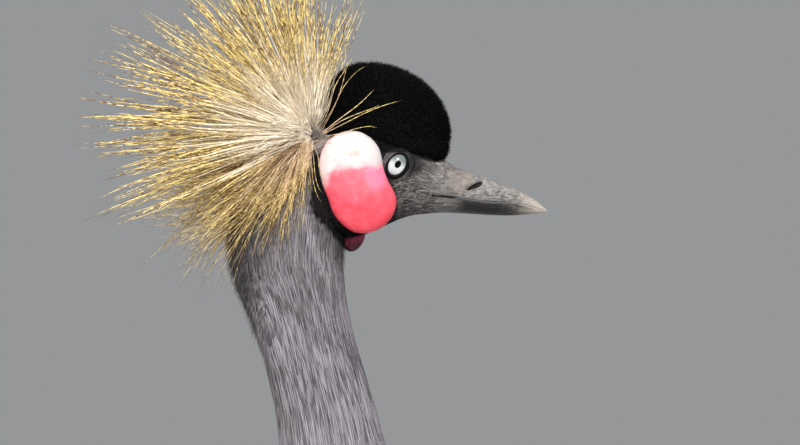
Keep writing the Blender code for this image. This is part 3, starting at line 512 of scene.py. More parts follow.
def coat(surface, row, turn, length, width, seed, shape=LANCE, lifts=(-2.5, 0.8), flow=-1,
         drift=0.0, height=0.35, profile=RIDGE, sign=1, curl=0.0, roll=0.0, ease=0.7):
    """Blades that follow a surface from their roots, `length` mm along it and `drift` mm around.

    The line of a blade is the surface at row + flow * length * share / pace, lifted off by
    first + (last - first) * share^ease. curl lifts the tip on by share^3, and roll tilts the blade.
    """
    rng = default_rng(seed)
    count = len(row)
    length, width, drift, curl = (np.broadcast_to(v, count) for v in (length, width, drift, curl))
    pace = surface(row + STEP, turn) - surface(row - STEP, turn)
    pace = np.linalg.norm(pace, axis=-1) / (2 * STEP)
    girth = np.linalg.norm(surface(row, turn + 1) - surface(row, turn - 1), axis=-1) / 2
    share = shape[:, 0]
    rows = row[:, None] + flow * (length / np.maximum(pace, 1e-6))[:, None] * share
    turns = turn[:, None] + (drift / np.maximum(girth, 0.05))[:, None] * share
    normals = outward(surface, rows, turns, sign)
    first, last = (np.broadcast_to(v, count)[:, None] for v in lifts)
    lift = first + (last - first) * share ** ease + curl[:, None] * share ** 3
    points = surface(rows, turns) + normals * lift[..., None]
    if roll:
        normals = rolled(points, normals, roll)
    widths = width[:, None] * shape[:-1, 1]
    heights = widths * height
    spots = np.stack([turn / 360 % 1, (row - row.min()) / max(np.ptp(row), 1e-6)], -1)
    return blades(points, normals, widths, heights, rng.random(count), 0.01 + 0.98 * spots,
                  profile)


demo = coat(trunk, *scattered(trunk, 10, (8.0, 9.0)), 20.0, 1.0, 1)
print("ten neck feathers have", len(demo["quads"]) * 2 + len(demo["triangles"]), "triangles")

# %% [markdown]
# ## The colours of the head
# Skin, down and hairs meet all over the head, and they have to agree on where black ends and grey
# begins. So one function gives the plumage's colour from the place alone, and every coat calls it.
# The neck is mouse grey, each feather a little different, and darker at its hind edge below the
# crest: partly darker plumage, partly the crest's shadow painted in. A black band runs down
# behind the bare cheek to the throat, broken by a ring of pale down where the crest is rooted.
# The face is dark grey and grows paler and warmer towards the nostrils, but it is nearly black just
# in front of the eye, and black where the cap begins. Below the neck the grey sinks into the slate
# black of the body.

# %% Plumage colour by place
BAND_X = -46.0  # hind edge of the black band, and the height below which it swings forward
BAND_TURN_Z = -25.0
DARK_SKIN, CAP_BLACK = (0.008, 0.007, 0.008), (0.003, 0.003, 0.003)


def velvet(x, z, ragged):
    """1 over the line above the eye where the cap's black begins, 0 on the face below it."""
    return (z + (ragged - 0.5) * 2.5 - x.over(4, 20, 6.2, 1.2)).over(-0.5, 0.7)


def eye_shade(x, z, ragged):
    """How dark the skin just in front of the eye is: 0.78 there, and 0 from 9.5 mm away."""
    ahead, up = x - 8, (z - 1) * 1.1
    return ((ahead * ahead + up * up).math("SQRT") + (ragged - 0.5) * 3).over(9.5, 4) * 0.78


def plumage(finish, chance, streak=0.5):
    """The colour of skin or feather at a place, for a blade with this chance number and streak."""
    spot = finish.place()
    x, _, z = spot.parts()
    soft = finish.noise(spot, 0.32, 3.0)
    broad = finish.noise(spot, 0.06, 2.0)
    level = chance * 0.06 + streak * 2.2 + soft * 0.06 + broad * 0.3 - 0.78
    level = level + z.over(-120, -50, 0.12, -0.14)
    grey = finish.mix(level, (0.16, 0.148, 0.163), (0.35, 0.326, 0.362))
    # darker on the upper back of the neck: partly darker plumage, partly the crest's shadow painted
    # in
    hind = (-1 * x + z * 0.25 + (soft - 0.5) * 30).over(46, 74) * z.over(-112, -76)
    grey = finish.mix(hind * 0.72, grey, (0.045, 0.041, 0.04))
    throat = (x + z * 0.54 + (soft - 0.5) * 10).over(-67, -57) * z.over(-74, -58)
    grey = finish.mix(throat * 0.6, grey, (0.04, 0.037, 0.037))
    slate = finish.mix(level, (0.011, 0.012, 0.014), (0.052, 0.055, 0.062))
    grey = finish.mix((z + (soft - 0.5) * 40).over(-345, -235), slate, grey)
    front = (x + (soft - 0.5) * 4).over(-8, -1)
    lift = (x * 0.03 + z * 0.012 + soft * 0.8 + chance * 0.5 - 0.15).over(0, 1.6)
    face = finish.mix(lift, (0.04, 0.037, 0.038), (0.42, 0.385, 0.385))
    crease = (z + x.over(8, 30, 16.1, 17.6) + (soft - 0.5) * 1.5).math("ABSOLUTE")
    crease = crease.over(0.9, 0.2) * x.over(10, 14)
    face = finish.mix(crease * 0.85, face, (0.01, 0.009, 0.009))
    edge = (BAND_TURN_Z - z).math("MAXIMUM", 0.0) * 0.9 + BAND_X
    band = (x - edge + (soft - 0.5) * 7).over(-1.6, 1.6) * z.over(-53, -48)
    black = finish.mix(level, (0.0015, 0.0013, 0.0014), (0.007, 0.0062, 0.0062))
    hub_x, hub_z = float(HUB[0] - EYE[0]), float(HUB[2] - EYE[2])
    from_hub = ((x - hub_x) * (x - hub_x) + (z - hub_z) * (z - hub_z)).math("SQRT")
    black = finish.mix(from_hub.over(11, 7) * 0.9, black, (0.3, 0.25, 0.225))
    black = finish.mix(from_hub.over(5, 2.5) * 0.8, black, (0.05, 0.043, 0.043))
    face = finish.mix(eye_shade(x, z, soft), face, DARK_SKIN)
    face = finish.mix(velvet(x, z, soft), face, CAP_BLACK)
    return finish.mix(front * band, finish.mix(band, grey, black), face)


def plumage_finish(name, rough=0.72):
    """Plumage with streaks along the bird, a darker rim to each blade, and barbs as bump."""
    finish = Finish(name)
    chance, _, across = finish.tone()
    streak = finish.streaks(0.22, 0.7, 0.02) * 0.4 + finish.streaks(0.22, 0.16, 0.008) * 0.6
    colour = plumage(finish, chance, streak)
    barbs = finish.noise(finish.place(), 2.6, 3.0, 0.6)
    dark = ((across - 0.5).math("ABSOLUTE")).over(0.36, 0.5)
    colour = finish.mix(dark * 0.06, colour, (0.02, 0.019, 0.02))
    return finish.end(colour, rough - barbs * 0.15, barbs, 0.12, 0.25, Specular_IOR_Level=0.15)


NECK_DOWN = plumage_finish("neck_down")
print("materials:", [m.name for m in bpy.data.materials if m.users])

# %% [markdown]
# ## One skin for the whole bird
# Trunk, skull, hub and thighs are separate lofts. A voxel remesh melts them into one closed skin
# with no seams, as clay would be smoothed over joints, and a few rounds of smoothing soften the
# creases. The skin lies under the plumage by the coat's depth, so its job is to close every gap
# between feathers in the right colour.

# %% Skin
SKIN_VOXEL, SKIN_ROUNDS = 0.0023, 7  # metres, and rounds of smoothing
SKIN_UNDER, THIGH_UNDER = 2.7, 2.6  # mm that the skin lies below the surface


def skin_piece():
    """The lofts in one mesh, remeshed and smoothed by modifiers whose result is kept."""
    thin = np.interp(np.linspace(0.1, 8.9, 70), (0, 4.5, 6.2, 9), (1.2, 1.0, 0.3, 0.2))
    shells = joined(*[lofted(rings) for rings in (
        form_of(trunk, 0.05, 17.9, 120, 72, SKIN_UNDER),
        form_of(skull, 0.1, 8.9, 70, 72, thin[:, None, None]),
        form_of(hub_ball, 2, 178, 24, 32, 1.0),
        *[form_of(limb(THIGH, side), 0, 4, 40, 48, THIGH_UNDER) for side in (1, -1)])])
    rough = piece("skin_rough", shells, NECK_DOWN)
    melt = rough.modifiers.new("melt", "REMESH")
    melt.mode, melt.voxel_size = "VOXEL", SKIN_VOXEL
    relax = rough.modifiers.new("relax", "SMOOTH")
    relax.factor, relax.iterations = 0.5, SKIN_ROUNDS
    graph = bpy.context.evaluated_depsgraph_get()
    mesh = bpy.data.meshes.new_from_object(rough.evaluated_get(graph))
    bpy.data.objects.remove(rough)
    mesh.name = "skin"
    mesh.shade_smooth()
    mesh.materials.clear()
    mesh.materials.append(skin_finish())
    return placed(linked("skin", mesh), ("torso", "neck_lower", "neck_upper", "head", "thigh_left",
                                         "thigh_right"))


def skin_finish():
    """The plumage's colours, a fifth darker, with short hair lines as bump."""
    finish = Finish("skin_down")
    spot = finish.place()
    colour = finish.shade(plumage(finish, 0.35), 0.8)
    hairs = finish.noise(spot * (0.5, 1.6, 1.6), 1.1, 4.0, 0.65)
    return finish.end(colour, hairs * 0.2 + 0.65, hairs, 0.5, 0.4, Specular_IOR_Level=0.12)


skin_piece()

# %% [markdown]
# ## Feathers of the neck
# The neck wears feathers as fine as hair, some four centimetres long and less than a millimetre
# wide, that run down it. They are laid on the trunk's surface as blades. A small exponent lifts a
# blade off soon after its root, to a level of its own, so that the upper ones show along most of
# their length. Two slow waves bend neighbours the same way, which gathers them into locks, and on
# the nape ragged tufts stand off. Lower down the feathers grow longer and broader. The trunk's rows
# aren't evenly spaced, and blades measured in rows would end together in bands, so the long coats
# count in millimetres.

# %% Neck coats
def near_nape(turn):
    """1 on the back of the neck, 0 on its front, from the cosine of the turn."""
    return np.clip(ring(turn)[0] * 0.5 + 0.5, 0, 1)


NECK_ROWS = np.linspace(4, 18, 561)
NECK_STEPS = np.linalg.norm(np.diff(trunk(NECK_ROWS, 90.0), axis=0), axis=-1)
NECK_MM = np.append(0, np.cumsum(NECK_STEPS))  # how far along the neck's side each row lies
LOCK = 9  # blades to a tuft


def neck(along, turn):
    """The trunk again, with mm along its side in place of rows: every blade is as long as asked."""
    return trunk(np.interp(along, NECK_MM, NECK_ROWS), turn)


def neck_coat(name, count, rows, length, width, seed, height):
    """A coat of lances over a stretch of the neck, wilder on the nape below the crest; over the
    rows their width goes from first to last as first * (last / first)^share."""
    rng = default_rng(seed)
    row, turn = scattered(trunk, count, rows)
    width = width[0] * (width[1] / width[0]) ** np.interp(row, rows, (0, 1))
    height_there = trunk(row, turn)[:, 2] - EYE[2]
    wild = near_nape(turn) ** 4 * np.clip((height_there + 104) / 25, 0, 1)
    clump = np.sin(row * 7.3 + 2 * np.sin(turn * 0.09)) * np.sin(turn * 0.21 + row * 3.1)
    long = length * rng.uniform(0.7, 1.2, count) * (1 - 0.25 * wild)
    lifts = (-1.2, rng.uniform(-0.3, 0.1, count) + wild * (rng.uniform(0, 1.4, count) + clump))
    along = np.interp(row, NECK_ROWS, NECK_MM)
    shape = coat(neck, along, turn, long, width * rng.uniform(0.7, 1.3, count), seed,
                 lifts=lifts, drift=rng.normal(0, 0.4, count) + 0.8 * clump, height=height,
                 ease=0.2)
    return piece(name, shape, NECK_DOWN)


def tufts(name, count, rows, turns, length, width, out, seed):
    """Locks that stand off the coat: nine blades share a root, and their tips run together."""
    rng = default_rng(seed)
    locks = count // LOCK
    row, turn = (np.repeat(v, LOCK) for v in scattered(trunk, locks, rows, turns))
    row, turn = row + rng.normal(0, 0.05, len(row)), turn + rng.normal(0, 2.2, len(row))
    aside = np.repeat(rng.normal(0, 1.1, locks), LOCK)
    off = np.repeat(rng.uniform(0.2, 1, locks) ** 1.5 * out, LOCK)
    shape = coat(trunk, row, turn, length * rng.uniform(0.6, 1.2, len(row)),
                 width * rng.uniform(0.7, 1.3, len(row)), seed, lifts=(-1.5, off * 0.35),
                 drift=aside, height=0.3, curl=off * rng.uniform(0.5, 0.8, len(row)))
    return piece(name, shape, NECK_DOWN)


neck_coat("neck_feathers_top", 12400, (13.4, 17.5), 36, (0.42, 0.4), 20, 0.06)
neck_coat("neck_feathers_upper", 12400, (7.8, 14.2), 60, (0.8, 0.42), 21, 0.06)
neck_coat("neck_feathers_lower", 12400, (6.7, 12.6), 60, (2.1, 0.38), 22, 0.16)
tufts("nape_tufts", 2700, (13.9, 15.9), (-50.0, 50.0), 17, 0.36, 5.0, 23)
tufts("throat_tufts", 1300, (15.0, 16.7), (150.0, 210.0), 10, 0.2, 3.0, 24)

# %% [markdown]
# ## Short hairs of the face
# On the face the plumage is no more than fine hairs, combed back from the bill. They are narrow
# strands laid on the skull's own surface. Where the eye, the cheek and the cap sit, no hair is
# planted, so a mask on the roots leaves those places out.

# %% Where the cheek and the cap lie
CHEEK = np.array([-21.5, -9.0])  # middle of the bare cheek, and its reach every 30 degrees
CHEEK_REACH = np.array([16.8, 16.2, 21.8, 26.3, 26.7, 22.9, 19, 18, 22, 26.7, 27, 23.6])
CHEEK_OUT, CHEEK_DOME = 19.0, 5.0  # its rim's distance out, and its dome's height over that
# the cap's middle and its reach forward, back and up; its power below, as in ring
CAP_MIDDLE, CAP_FRONT, CAP_REAR, CAP_UP, CAP_FULL = (-17.0, 16.0), 44.8, 27.0, 38.6, 3.2
CAP_BRIM = np.array([(-12, 13), (-4, 8.5), (0.5, 5.5), (6.8, 0.8), (17, -0.8), (21.5, -4.5),
                     (26, -6)])  # x, height of its lower edge
CAP_WIDTH = np.array([(-44, 13.5), (-20, 16.5), (-5, 21), (10, 22.5)])  # x, half width


def cheek_reach(angle):
    """The cheek's reach at an angle in degrees, by the same cubic curve run round in a ring."""
    around = np.concatenate([CHEEK_REACH[-2:], CHEEK_REACH, CHEEK_REACH[:3]])[:, None]
    return at_row(around, angle / 30 % 12 + 2)[..., 0]


def cheek_share(x, z):
    """How far from the cheek's middle a place lies, as a share of its reach that way."""
    dx, dz = x - CHEEK[0], z - CHEEK[1]
    return np.hypot(dx, dz) / cheek_reach(np.degrees(np.arctan2(dz, dx)))


def cap_brim(x):
    """The height of the cap's lower edge, which comes down onto the bill at its nose."""
    return np.interp(x, *CAP_BRIM.T)


def cap(row, turn):
    """A sphere of latitude row and longitude turn, stretched to the cap's reach each way; below
    its widest line it is fuller, and squashed down to the brim."""
    up, out = ring(row, np.where(row > 90, CAP_FULL, 2.0))
    c, s = ring(turn)
    x = CAP_MIDDLE[0] + out * c * np.where(c > 0, CAP_FRONT, CAP_REAR)
    drop = CAP_MIDDLE[1] - cap_brim(x)
    z = CAP_MIDDLE[1] + up * np.where(up > 0, CAP_UP, drop)
    return EYE + np.stack([x, np.interp(x, *CAP_WIDTH.T) * out * s, z], -1)


def face_hair(name, surface, count, rows, seed, length, width, lifts, where, drift,
              finish=None, flow=-1):
    """Strands on a surface, combed back, at the roots that where(x, z) allows."""
    rng = default_rng(seed)
    row, turn = scattered(surface, count, rows, (40.0, 320.0))
    spot = surface(row, turn) - EYE
    keep = where(spot[:, 0], spot[:, 2])
    row, turn, count = row[keep], turn[keep], keep.sum()
    down = -np.sign(np.sin(np.radians(turn)))
    shape = coat(surface, row, turn, length * rng.uniform(0.7, 1.3, count),
                 width * rng.uniform(0.7, 1.3, count), seed, shape=STRAND, profile=HAIR, flow=flow,
                 lifts=lifts, drift=rng.normal(0, 0.6, count) - down * drift, height=0.8)
    return piece(name, shape, finish or NECK_DOWN)


def face_hair_finish():
    """Grey hairs, many of them far paler, lighter towards the bill and dark behind the eye."""
    finish = Finish("face_hair")
    chance, share, _ = finish.tone()
    spot = finish.place()
    x, _, z = spot.parts()
    soft = finish.noise(spot, 0.35, 3.0)
    level = chance.over(0.35, 1.0) + (soft - 0.5) * 0.8 + x * 0.011 - share * 0.15 - 0.1
    colour = finish.mix(level, (0.035, 0.032, 0.034), (0.46, 0.43, 0.425))
    behind = (x + z * 0.15 + (soft - 0.5) * 3).over(-2, -7)
    colour = finish.mix(behind * 0.9, colour, (0.012, 0.011, 0.012))
    colour = finish.mix(eye_shade(x, z, soft), colour, DARK_SKIN)
    colour = finish.mix(velvet(x, z, soft), colour, CAP_BLACK)
    return finish.end(colour, 0.6, Specular_IOR_Level=0.25)


def bare_face(x, z):
    """Not on the eye, the cheek or the cap, and in front of the cheek."""
    free = (np.hypot(x, z) > 7.6) & (cheek_share(x, z) > 0.95) & (z < cap_brim(x) + 5)
    return free & (x > -12) & ((x * 7.31 + z * 5.17) % 1 > (x - 17) / 14)


def hind_head(x, z):
    """Behind and around the cheek."""
    return (cheek_share(x, z) > 0.9) & (x <= -8) & (z < cap_brim(x) + 12)


face_hair("face_hairs", skull, 15000, (4.2, 8.7), 31, 4.6, 0.12, (-0.7, 0.3), bare_face, 0.8,
          face_hair_finish())
face_hair("hood_down", skull, 9000, (0.3, 5.2), 32, 7.5, 0.4, (-1.2, 0.6), hind_head, 1.5)
face_hair("hub_down", lambda row, turn: hub_ball(row * 20, turn), 1200, (1.0, 8.0), 33, 5.0, 0.22,
          (-1.0, 0.4), lambda x, z: (cheek_share(x, z) > 0.98) & (x > -40), 0.5, flow=1)

# %% [markdown]
# ## The velvet cap
# The forehead carries a cushion of short feathers as dense as velvet. Real velvet gets its depth
# from fibres standing up, which catch light only at grazing angles. So the cushion is a smooth dark
# core with over thirty thousand three-sided tufts on it, and a little sheen adds the soft rim.

# %% Cap
CAP_PILE, CAP_CORE = 34000, 1.5  # tufts, and mm from the outline in to the core


def velvet_finish():
    """Near black, with faint clumps; the sheen is one number for the whole cap."""
    finish = Finish("velvet_black")
    spot = finish.place()
    chance, share, _ = finish.tone()
    clumps = finish.noise(spot, 0.55, 3.0, 0.6)
    level = (clumps - 0.5) * 3.0 + (chance - 0.5) * 1.3 + share * 0.3 + 0.15
    colour = finish.mix(level, (0.0003, 0.0003, 0.0003), (0.0075, 0.0072, 0.0075))
    return finish.end(colour, 0.95, finish.noise(spot, 2.2, 2.0), 0.4, 0.4, Sheen_Weight=0.02,
                      Sheen_Roughness=0.5, Specular_IOR_Level=0.04)


def make_cap():
    """The cushion's core and its pile, whose tips clump by two crossed sine waves."""
    rng = default_rng(41)
    core = lofted(form_of(cap, 1.0, 179.0, 60, 96, CAP_CORE))
    row, turn = scattered(cap, CAP_PILE, (2.0, 172.0))
    count = len(row)
    clump = np.sin(row * 0.9 + 2.2 * np.sin(turn * 0.16)) * np.sin(turn * 0.61 + row * 0.37)
    pile = coat(cap, row, turn, rng.uniform(0.5, 2.2, count), rng.uniform(0.16, 0.3, count), 42,
                shape=TUFT, profile=HAIR, flow=1, height=0.9,
                lifts=(-2.0, rng.uniform(-0.4, 1.4, count) + 0.6 * clump),
                drift=rng.normal(0, 0.7, count))
    return piece("cap_velvet", joined(core, pile), velvet_finish(), ("cap",))


make_cap()

# %% [markdown]
# ## The bare cheeks
# Each cheek is a soft pad of naked skin, chalk white above and coral red below. Its outline is a
# reach at every thirty degrees, and its section a low dome whose rim rolls in to the head. A grid
# of share by angle gives the dome. A few slow sine waves, a shallow furrow between white and red
# and one faint fold below keep it from looking turned on a lathe.

# %% Cheeks
def cheek_out(share):
    """The dome: out = rim + dome * (1 - share^2.6)^0.8 - 1.6 share^6."""
    return CHEEK_OUT + CHEEK_DOME * (1 - np.minimum(share, 1) ** 2.6) ** 0.8 - 1.6 * share ** 6


def cheek_shape(side):
    """Rings from the hidden root of the rim, round its roll, over the dome to the middle: out =
    dome + 0.42 * waves * (1 - share^4) - furrow - fold, of which the last two are bell curves."""
    roll, inner = np.linspace(0, 1, 14), np.linspace(0.97, 0.01, 44)
    rim_share = np.interp(roll, (0, 0.45, 0.8, 1), (0.90, 1.0, 1.012, 0.985))
    rim_out = np.interp(roll, (0, 0.45, 0.8, 1), (-8.5, -4.4, -2.6, -1.2))
    share = np.append(rim_share, inner)
    out = np.append(CHEEK_OUT + rim_out, cheek_out(inner))
    angle = np.arange(144) * 2.5
    share, turn = np.meshgrid(share, angle, indexing="ij")
    out = np.broadcast_to(out[:, None], share.shape)
    reach = share * cheek_reach(turn)
    c, s = ring(turn)
    x, z = CHEEK[0] + reach * c, CHEEK[1] + reach * s
    soft = (np.sin(x * 0.17 + z * 0.08 + side) + 0.6 * np.sin(z * 0.24 - x * 0.1 + 2 * side)
            + 0.3 * np.sin(x * 0.43 + z * 0.37 + np.sin(z * 0.3)))
    furrow = 0.3 * np.exp(-((z + 0.5) / 3.5) ** 2)
    fold = 0.35 * np.exp(-((z + 28 + 0.2 * x) / 1.6) ** 2) * np.sin((x + 40) * 0.09)
    out = out + 0.42 * soft * (1 - share ** 4) - furrow - fold
    return lofted(EYE + np.stack([x, side * out, z], -1))


def cheek_finish():
    """White above a soft ragged border and at the hind rim, coral below, pinker near the eye."""
    finish = Finish("cheek_bare_skin")
    spot = finish.place()
    x, _, z = spot.parts()
    soft = finish.noise(spot, 0.16, 3.0)
    fine = finish.noise(spot, 0.9, 3.0)
    border = (x + 21.5) * 0.09 + (soft - 0.5) * 8 + (fine - 0.5) * 3.0 - 1.0
    white = (z - border).over(-3.4, 2.6)
    hind = (-1 * x + z * 0.35 + (soft - 0.5) * 6).over(32, 37) * z.over(-24, -16)
    red = finish.mix(soft * 1.7 - 0.35, (0.62, 0.028, 0.05), (0.74, 0.062, 0.098))
    red = finish.mix(z.over(-30, -4) * 0.45, red, (0.80, 0.155, 0.21))
    red = finish.mix((fine * 0.3 + soft - 0.65).over(-0.1, 0.3) * 0.22, red, (0.82, 0.2, 0.26))
    magenta = ((x + 11) * (x + 11) + (z + 3.5) * (z + 3.5) * 0.5).over(75, 5)
    red = finish.mix(magenta * 0.6, red, (0.76, 0.2, 0.34))
    chalk = finish.mix(fine, (0.48, 0.435, 0.44), (0.58, 0.545, 0.545))
    blush = ((x + 24.6) * (x + 24.6) * 0.026 + (z - 6.2) * (z - 6.2) * 0.14).over(1.3, 0.1)
    chalk = finish.mix(blush * (fine + soft * 1.2 - 0.5), chalk, (0.45, 0.27, 0.23))
    rim = ((x + 21.5) * (x + 21.5) * 0.0024 + (z + 2) * (z + 2) * 0.0018).over(0.62, 1.0)
    chalk = finish.mix(rim * (soft + 0.2) * 0.6, chalk, (0.82, 0.42, 0.45))
    colour = finish.mix((white + hind * 0.8).math("MINIMUM", 1.0), red, chalk)
    pores = finish.cells(spot, 1.5) * 0.6 + finish.noise(spot, 0.4, 4.0) * 2.0
    return finish.end(colour, 0.42 + fine * 0.12, pores, 0.4, 0.45, Subsurface_Weight=0.12,
                      Subsurface_Radius=(0.004, 0.0015, 0.001), Subsurface_Scale=1.0)


CHEEK_SKIN = cheek_finish()
for word, side in SIDES:
    piece("cheek_pad_" + word, cheek_shape(side), CHEEK_SKIN, ("cheek_" + word,))

# %% [markdown]
# ## Wattle
# Under the throat hangs a small wattle, a dark red flap with soft folds. It is an ellipsoid whose
# width swells and shrinks along it by a cosine, which pleats it.

# %% Wattle
WATTLE_X, WATTLE_Z = -24, -39  # its middle, from the eye
WATTLE_SIZE = (6.2, 5.0, 7.0)  # half lengths
PLEAT = 6.6  # mm that hold one and a half of its folds


def wattle_shape():
    """middle + radii * sphere, its width times 1 + 0.06 cos(3 pi x / pleat) + a fine crinkle."""
    lat, lon = grid(1, 179, 48, 64)
    up, out = ring(lat)
    c, s = ring(lon)
    x, z = WATTLE_SIZE[0] * out * c * (1 + 0.16 * up), WATTLE_SIZE[2] * up
    pleat = 1 + 0.06 * np.cos(np.pi * 3 * x / PLEAT) + 0.03 * np.sin(x * 4 + z * 2.2)
    return lofted(EYE + np.stack([x + WATTLE_X + 0.12 * z, WATTLE_SIZE[1] * out * s * pleat,
                                  z + WATTLE_Z], -1))


def wattle_finish():
    """Wine red, darker where its wrinkles sink: painted shade in the creases."""
    finish = Finish("wattle_bare_skin")
    spot = finish.place()
    soft = finish.noise(spot, 0.5, 4.0, 0.6)
    _, _, z = spot.parts()
    # the same noise darkens the colour and sinks the wrinkle bump: painted shade in the creases
    colour = finish.mix(soft * 1.2 - 0.5 + z.over(-45, -36) * 0.7, (0.025, 0.003, 0.006),
                        (0.30, 0.034, 0.085))
    wrinkle = finish.cells(spot, 0.9) + soft
    return finish.end(colour, 0.6, wrinkle, 0.5, 0.4, Specular_IOR_Level=0.3)


piece("wattle_flap", wattle_shape(), wattle_finish(), ("wattle",))

# %% [markdown]
# ## The bill
# The bill is two closed lofts, one to each jaw, that meet at the mouth line. A slice of the upper
# jaw is an arch over a flat sole. The nostril is pressed into it: wherever a point lies inside a
# slanting ellipse on the side, it moves inwards by a smooth dent, with a shallow trough in front.

# %% Bill
NOSTRIL, NOSTRIL_SLANT = (40.5, -11.4), np.radians(25)
JAW_BACK = 6.5  # mm that each jaw runs on into the face
MOUTH_GAP = 0.16  # mm from the mouth line to either jaw
HIND_ROWS, JAW_ROWS = 6, 110


def slanted(x, z, middle, slant):
    """Place along and across axes turned by slant radians about a middle; arrays or wires."""
    c, s = float(np.cos(slant)), float(np.sin(slant))
    dx, dz = x - middle[0], z - middle[1]
    return dx * c + dz * s, dz * c - dx * s


def jaw(upper):
    """Arch over a sole: y = width sin a, z from mouth to ridge or keel by cos(a)^0.9; the hind
    rows shrink into the face, and the tip closes. A line over the mouth and a groove in the lower
    jaw are pressed in as bell curves."""
    row = np.concatenate([np.zeros(HIND_ROWS), np.linspace(0, len(BILL) - 1, JAW_ROWS)])
    x, ridge, mouth, keel, width = np.moveaxis(at_row(BILL, row), -1, 0)
    back = np.concatenate([np.linspace(JAW_BACK, 0.6, HIND_ROWS), np.zeros(JAW_ROWS)])
    shrink = 1 - 0.42 * (back / JAW_BACK) ** 1.3
    x = x - back
    arch = np.linspace(-90, 90, 57)
    sole = np.linspace(1, -1, 13)[1:-1]
    c, s = ring(arch)
    side = np.concatenate([s, sole])
    lift = np.concatenate([c ** (0.9 if upper else 0.8), 0.06 * (1 - sole ** 2)])
    goal = ridge if upper else keel
    edge = mouth + (MOUTH_GAP if upper else -MOUTH_GAP)
    y = (width * shrink * (1.0 if upper else 0.93))[:, None] * side
    z = edge[:, None] + ((goal - edge) * shrink)[:, None] * lift
    x = np.broadcast_to(x[:, None], y.shape)
    flat = np.concatenate([np.ones(len(arch)), np.zeros(len(sole))])
    if upper:
        along, across = slanted(x, z, NOSTRIL, NOSTRIL_SLANT)
        slit = np.exp(-(along / 4.8) ** 4 - (across / 1.5) ** 2)
        trough = np.exp(-((along - 6) / 6.0) ** 2 - ((across + 0.3) / 2.4) ** 2)
        edge_line = np.exp(-((z - edge[:, None] - 1.6) / 0.5) ** 2) * (x < 62) * (x > 20)
        dent = (2.6 * slit + 0.5 * trough + 0.16 * edge_line) * flat
    else:
        groove = np.exp(-((z - edge[:, None] + 3.6) / 0.55) ** 2) * np.clip((60 - x) / 20, 0, 1)
        dent = 0.22 * groove * np.clip((x - 18) / 6, 0, 1) * flat
    y = y - np.sign(y) * np.minimum(dent, np.abs(y) * 0.7)
    grain = 0.05 * np.sin(x * 2.1 + z * 1.7) * np.sin(x * 0.9 - z * 3.1)
    return lofted(EYE + np.stack([x, y + np.sign(y) * grain * flat, z], -1))


def horn_finish():
    """Slaty horn, mottled and scuffed, pale at the tip, with a darker patch on the lower jaw.
    Painted light makes the ridge lighter; painted shade darkens the lower jaw and the nostril, near
    black.
    """
    finish = Finish("bill_horn_grey")
    spot = finish.place()
    x, _, z = spot.parts()
    streak = finish.noise(spot * (0.35, 1.2, 1.2), 0.9, 4.0, 0.6, 0.4)
    mottle = finish.noise(spot, 0.34, 4.0, 0.62, 0.6)
    fleck = finish.noise(spot, 1.7, 3.0, 0.6)
    mouth = x.over(17, 50, -16.4, -19.8) + x.over(50, 79, 0, -4.5)
    # lighter towards the ridge: painted light on the bill's upper side
    high = (z - mouth).over(1, 9)
    level = (streak - 0.5) * 1.7 + (mottle - 0.5) * 0.9 + (fleck - 0.5) * 0.8 + high * 0.24 + 0.3
    colour = finish.mix(level, (0.018, 0.017, 0.018), (0.31, 0.295, 0.285))
    warm = ((x - 33) * (x - 33) * 0.05 + (z + 9) * (z + 9) * 0.06).over(4.5, 0.2)
    colour = finish.mix(warm * mottle * 1.1, colour, (0.24, 0.19, 0.165))
    base = (x + (mottle - 0.5) * 14).over(42, 20)
    face = finish.mix(streak * 1.8 + fleck * 0.5 - 0.65, (0.028, 0.026, 0.027), (0.18, 0.165, 0.16))
    colour = finish.mix(base * 0.85, colour, face)
    tip = (x + (mottle - 0.5) * 9).over(56, 78)
    colour = finish.mix(tip * 0.85, colour, (0.39, 0.345, 0.30))
    under = mouth - z
    patch = (x + (mottle - 0.5) * 10).over(31, 36) * (x + (streak - 0.5) * 22).over(66, 50)
    patch = patch * (under + (fleck - 0.5) * 1.5).over(0.3, 1.0) * under.over(6.5, 4.6)
    # darker over the lower jaw, below the mouth line: painted shade of the bill's underside
    low = (x + (streak - 0.5) * 18).over(24, 38) * x.over(76, 56)
    colour = finish.mix(under.over(0.2, 1.4) * 0.8 * low, colour, (0.014, 0.014, 0.013))
    colour = finish.mix(patch * 0.92, colour, (0.006, 0.006, 0.0055))
    seam = under.math("ABSOLUTE").over(1.1, 0.2) * x.over(78, 60)
    colour = finish.mix(seam * 0.88, colour, (0.008, 0.007, 0.007))
    along, across = slanted(x, z, NOSTRIL, NOSTRIL_SLANT)
    narrow = (0.72 - along * 0.08).math("MAXIMUM", 0.45)
    # near black inside the nostril's dent: painted shadow in the hollow
    nostril_shadow = (along * along * 0.046 + across * across * narrow).over(1.2, 0.85)
    colour = finish.mix(nostril_shadow, colour, (0.0015, 0.0015, 0.0015))
    relief = streak * 0.9 + fleck * 0.7 + mottle * 0.7
    return finish.end(colour, 0.4 + mottle * 0.25, relief, 0.7, 0.35, Specular_IOR_Level=0.22)


HORN = horn_finish()
piece("upper_jaw", jaw(True), HORN, ("bill_upper",))
piece("lower_jaw", jaw(False), HORN, ("bill_lower",))

# %% [markdown]
# ## Hair on the root of the bill
# There is no line where face ends and bill begins: the hairs thin out over the horn. A second coat
# of strands is planted on the jaws' own surface, denser towards the face.

# %% Bill-root hairs
def bill_side(row, turn):
    """The jaws as one round surface: turn 0 is the ridge, 90 the mouth line on the left."""
    x, ridge, mouth, keel, width = np.moveaxis(at_row(BILL, row), -1, 0)
    c, s = ring(turn)
    z = mouth + np.where(c > 0, (ridge - mouth), (mouth - keel)) * np.sign(c) * np.abs(c) ** 0.9
    return EYE + np.stack([x, width * s, z], -1)


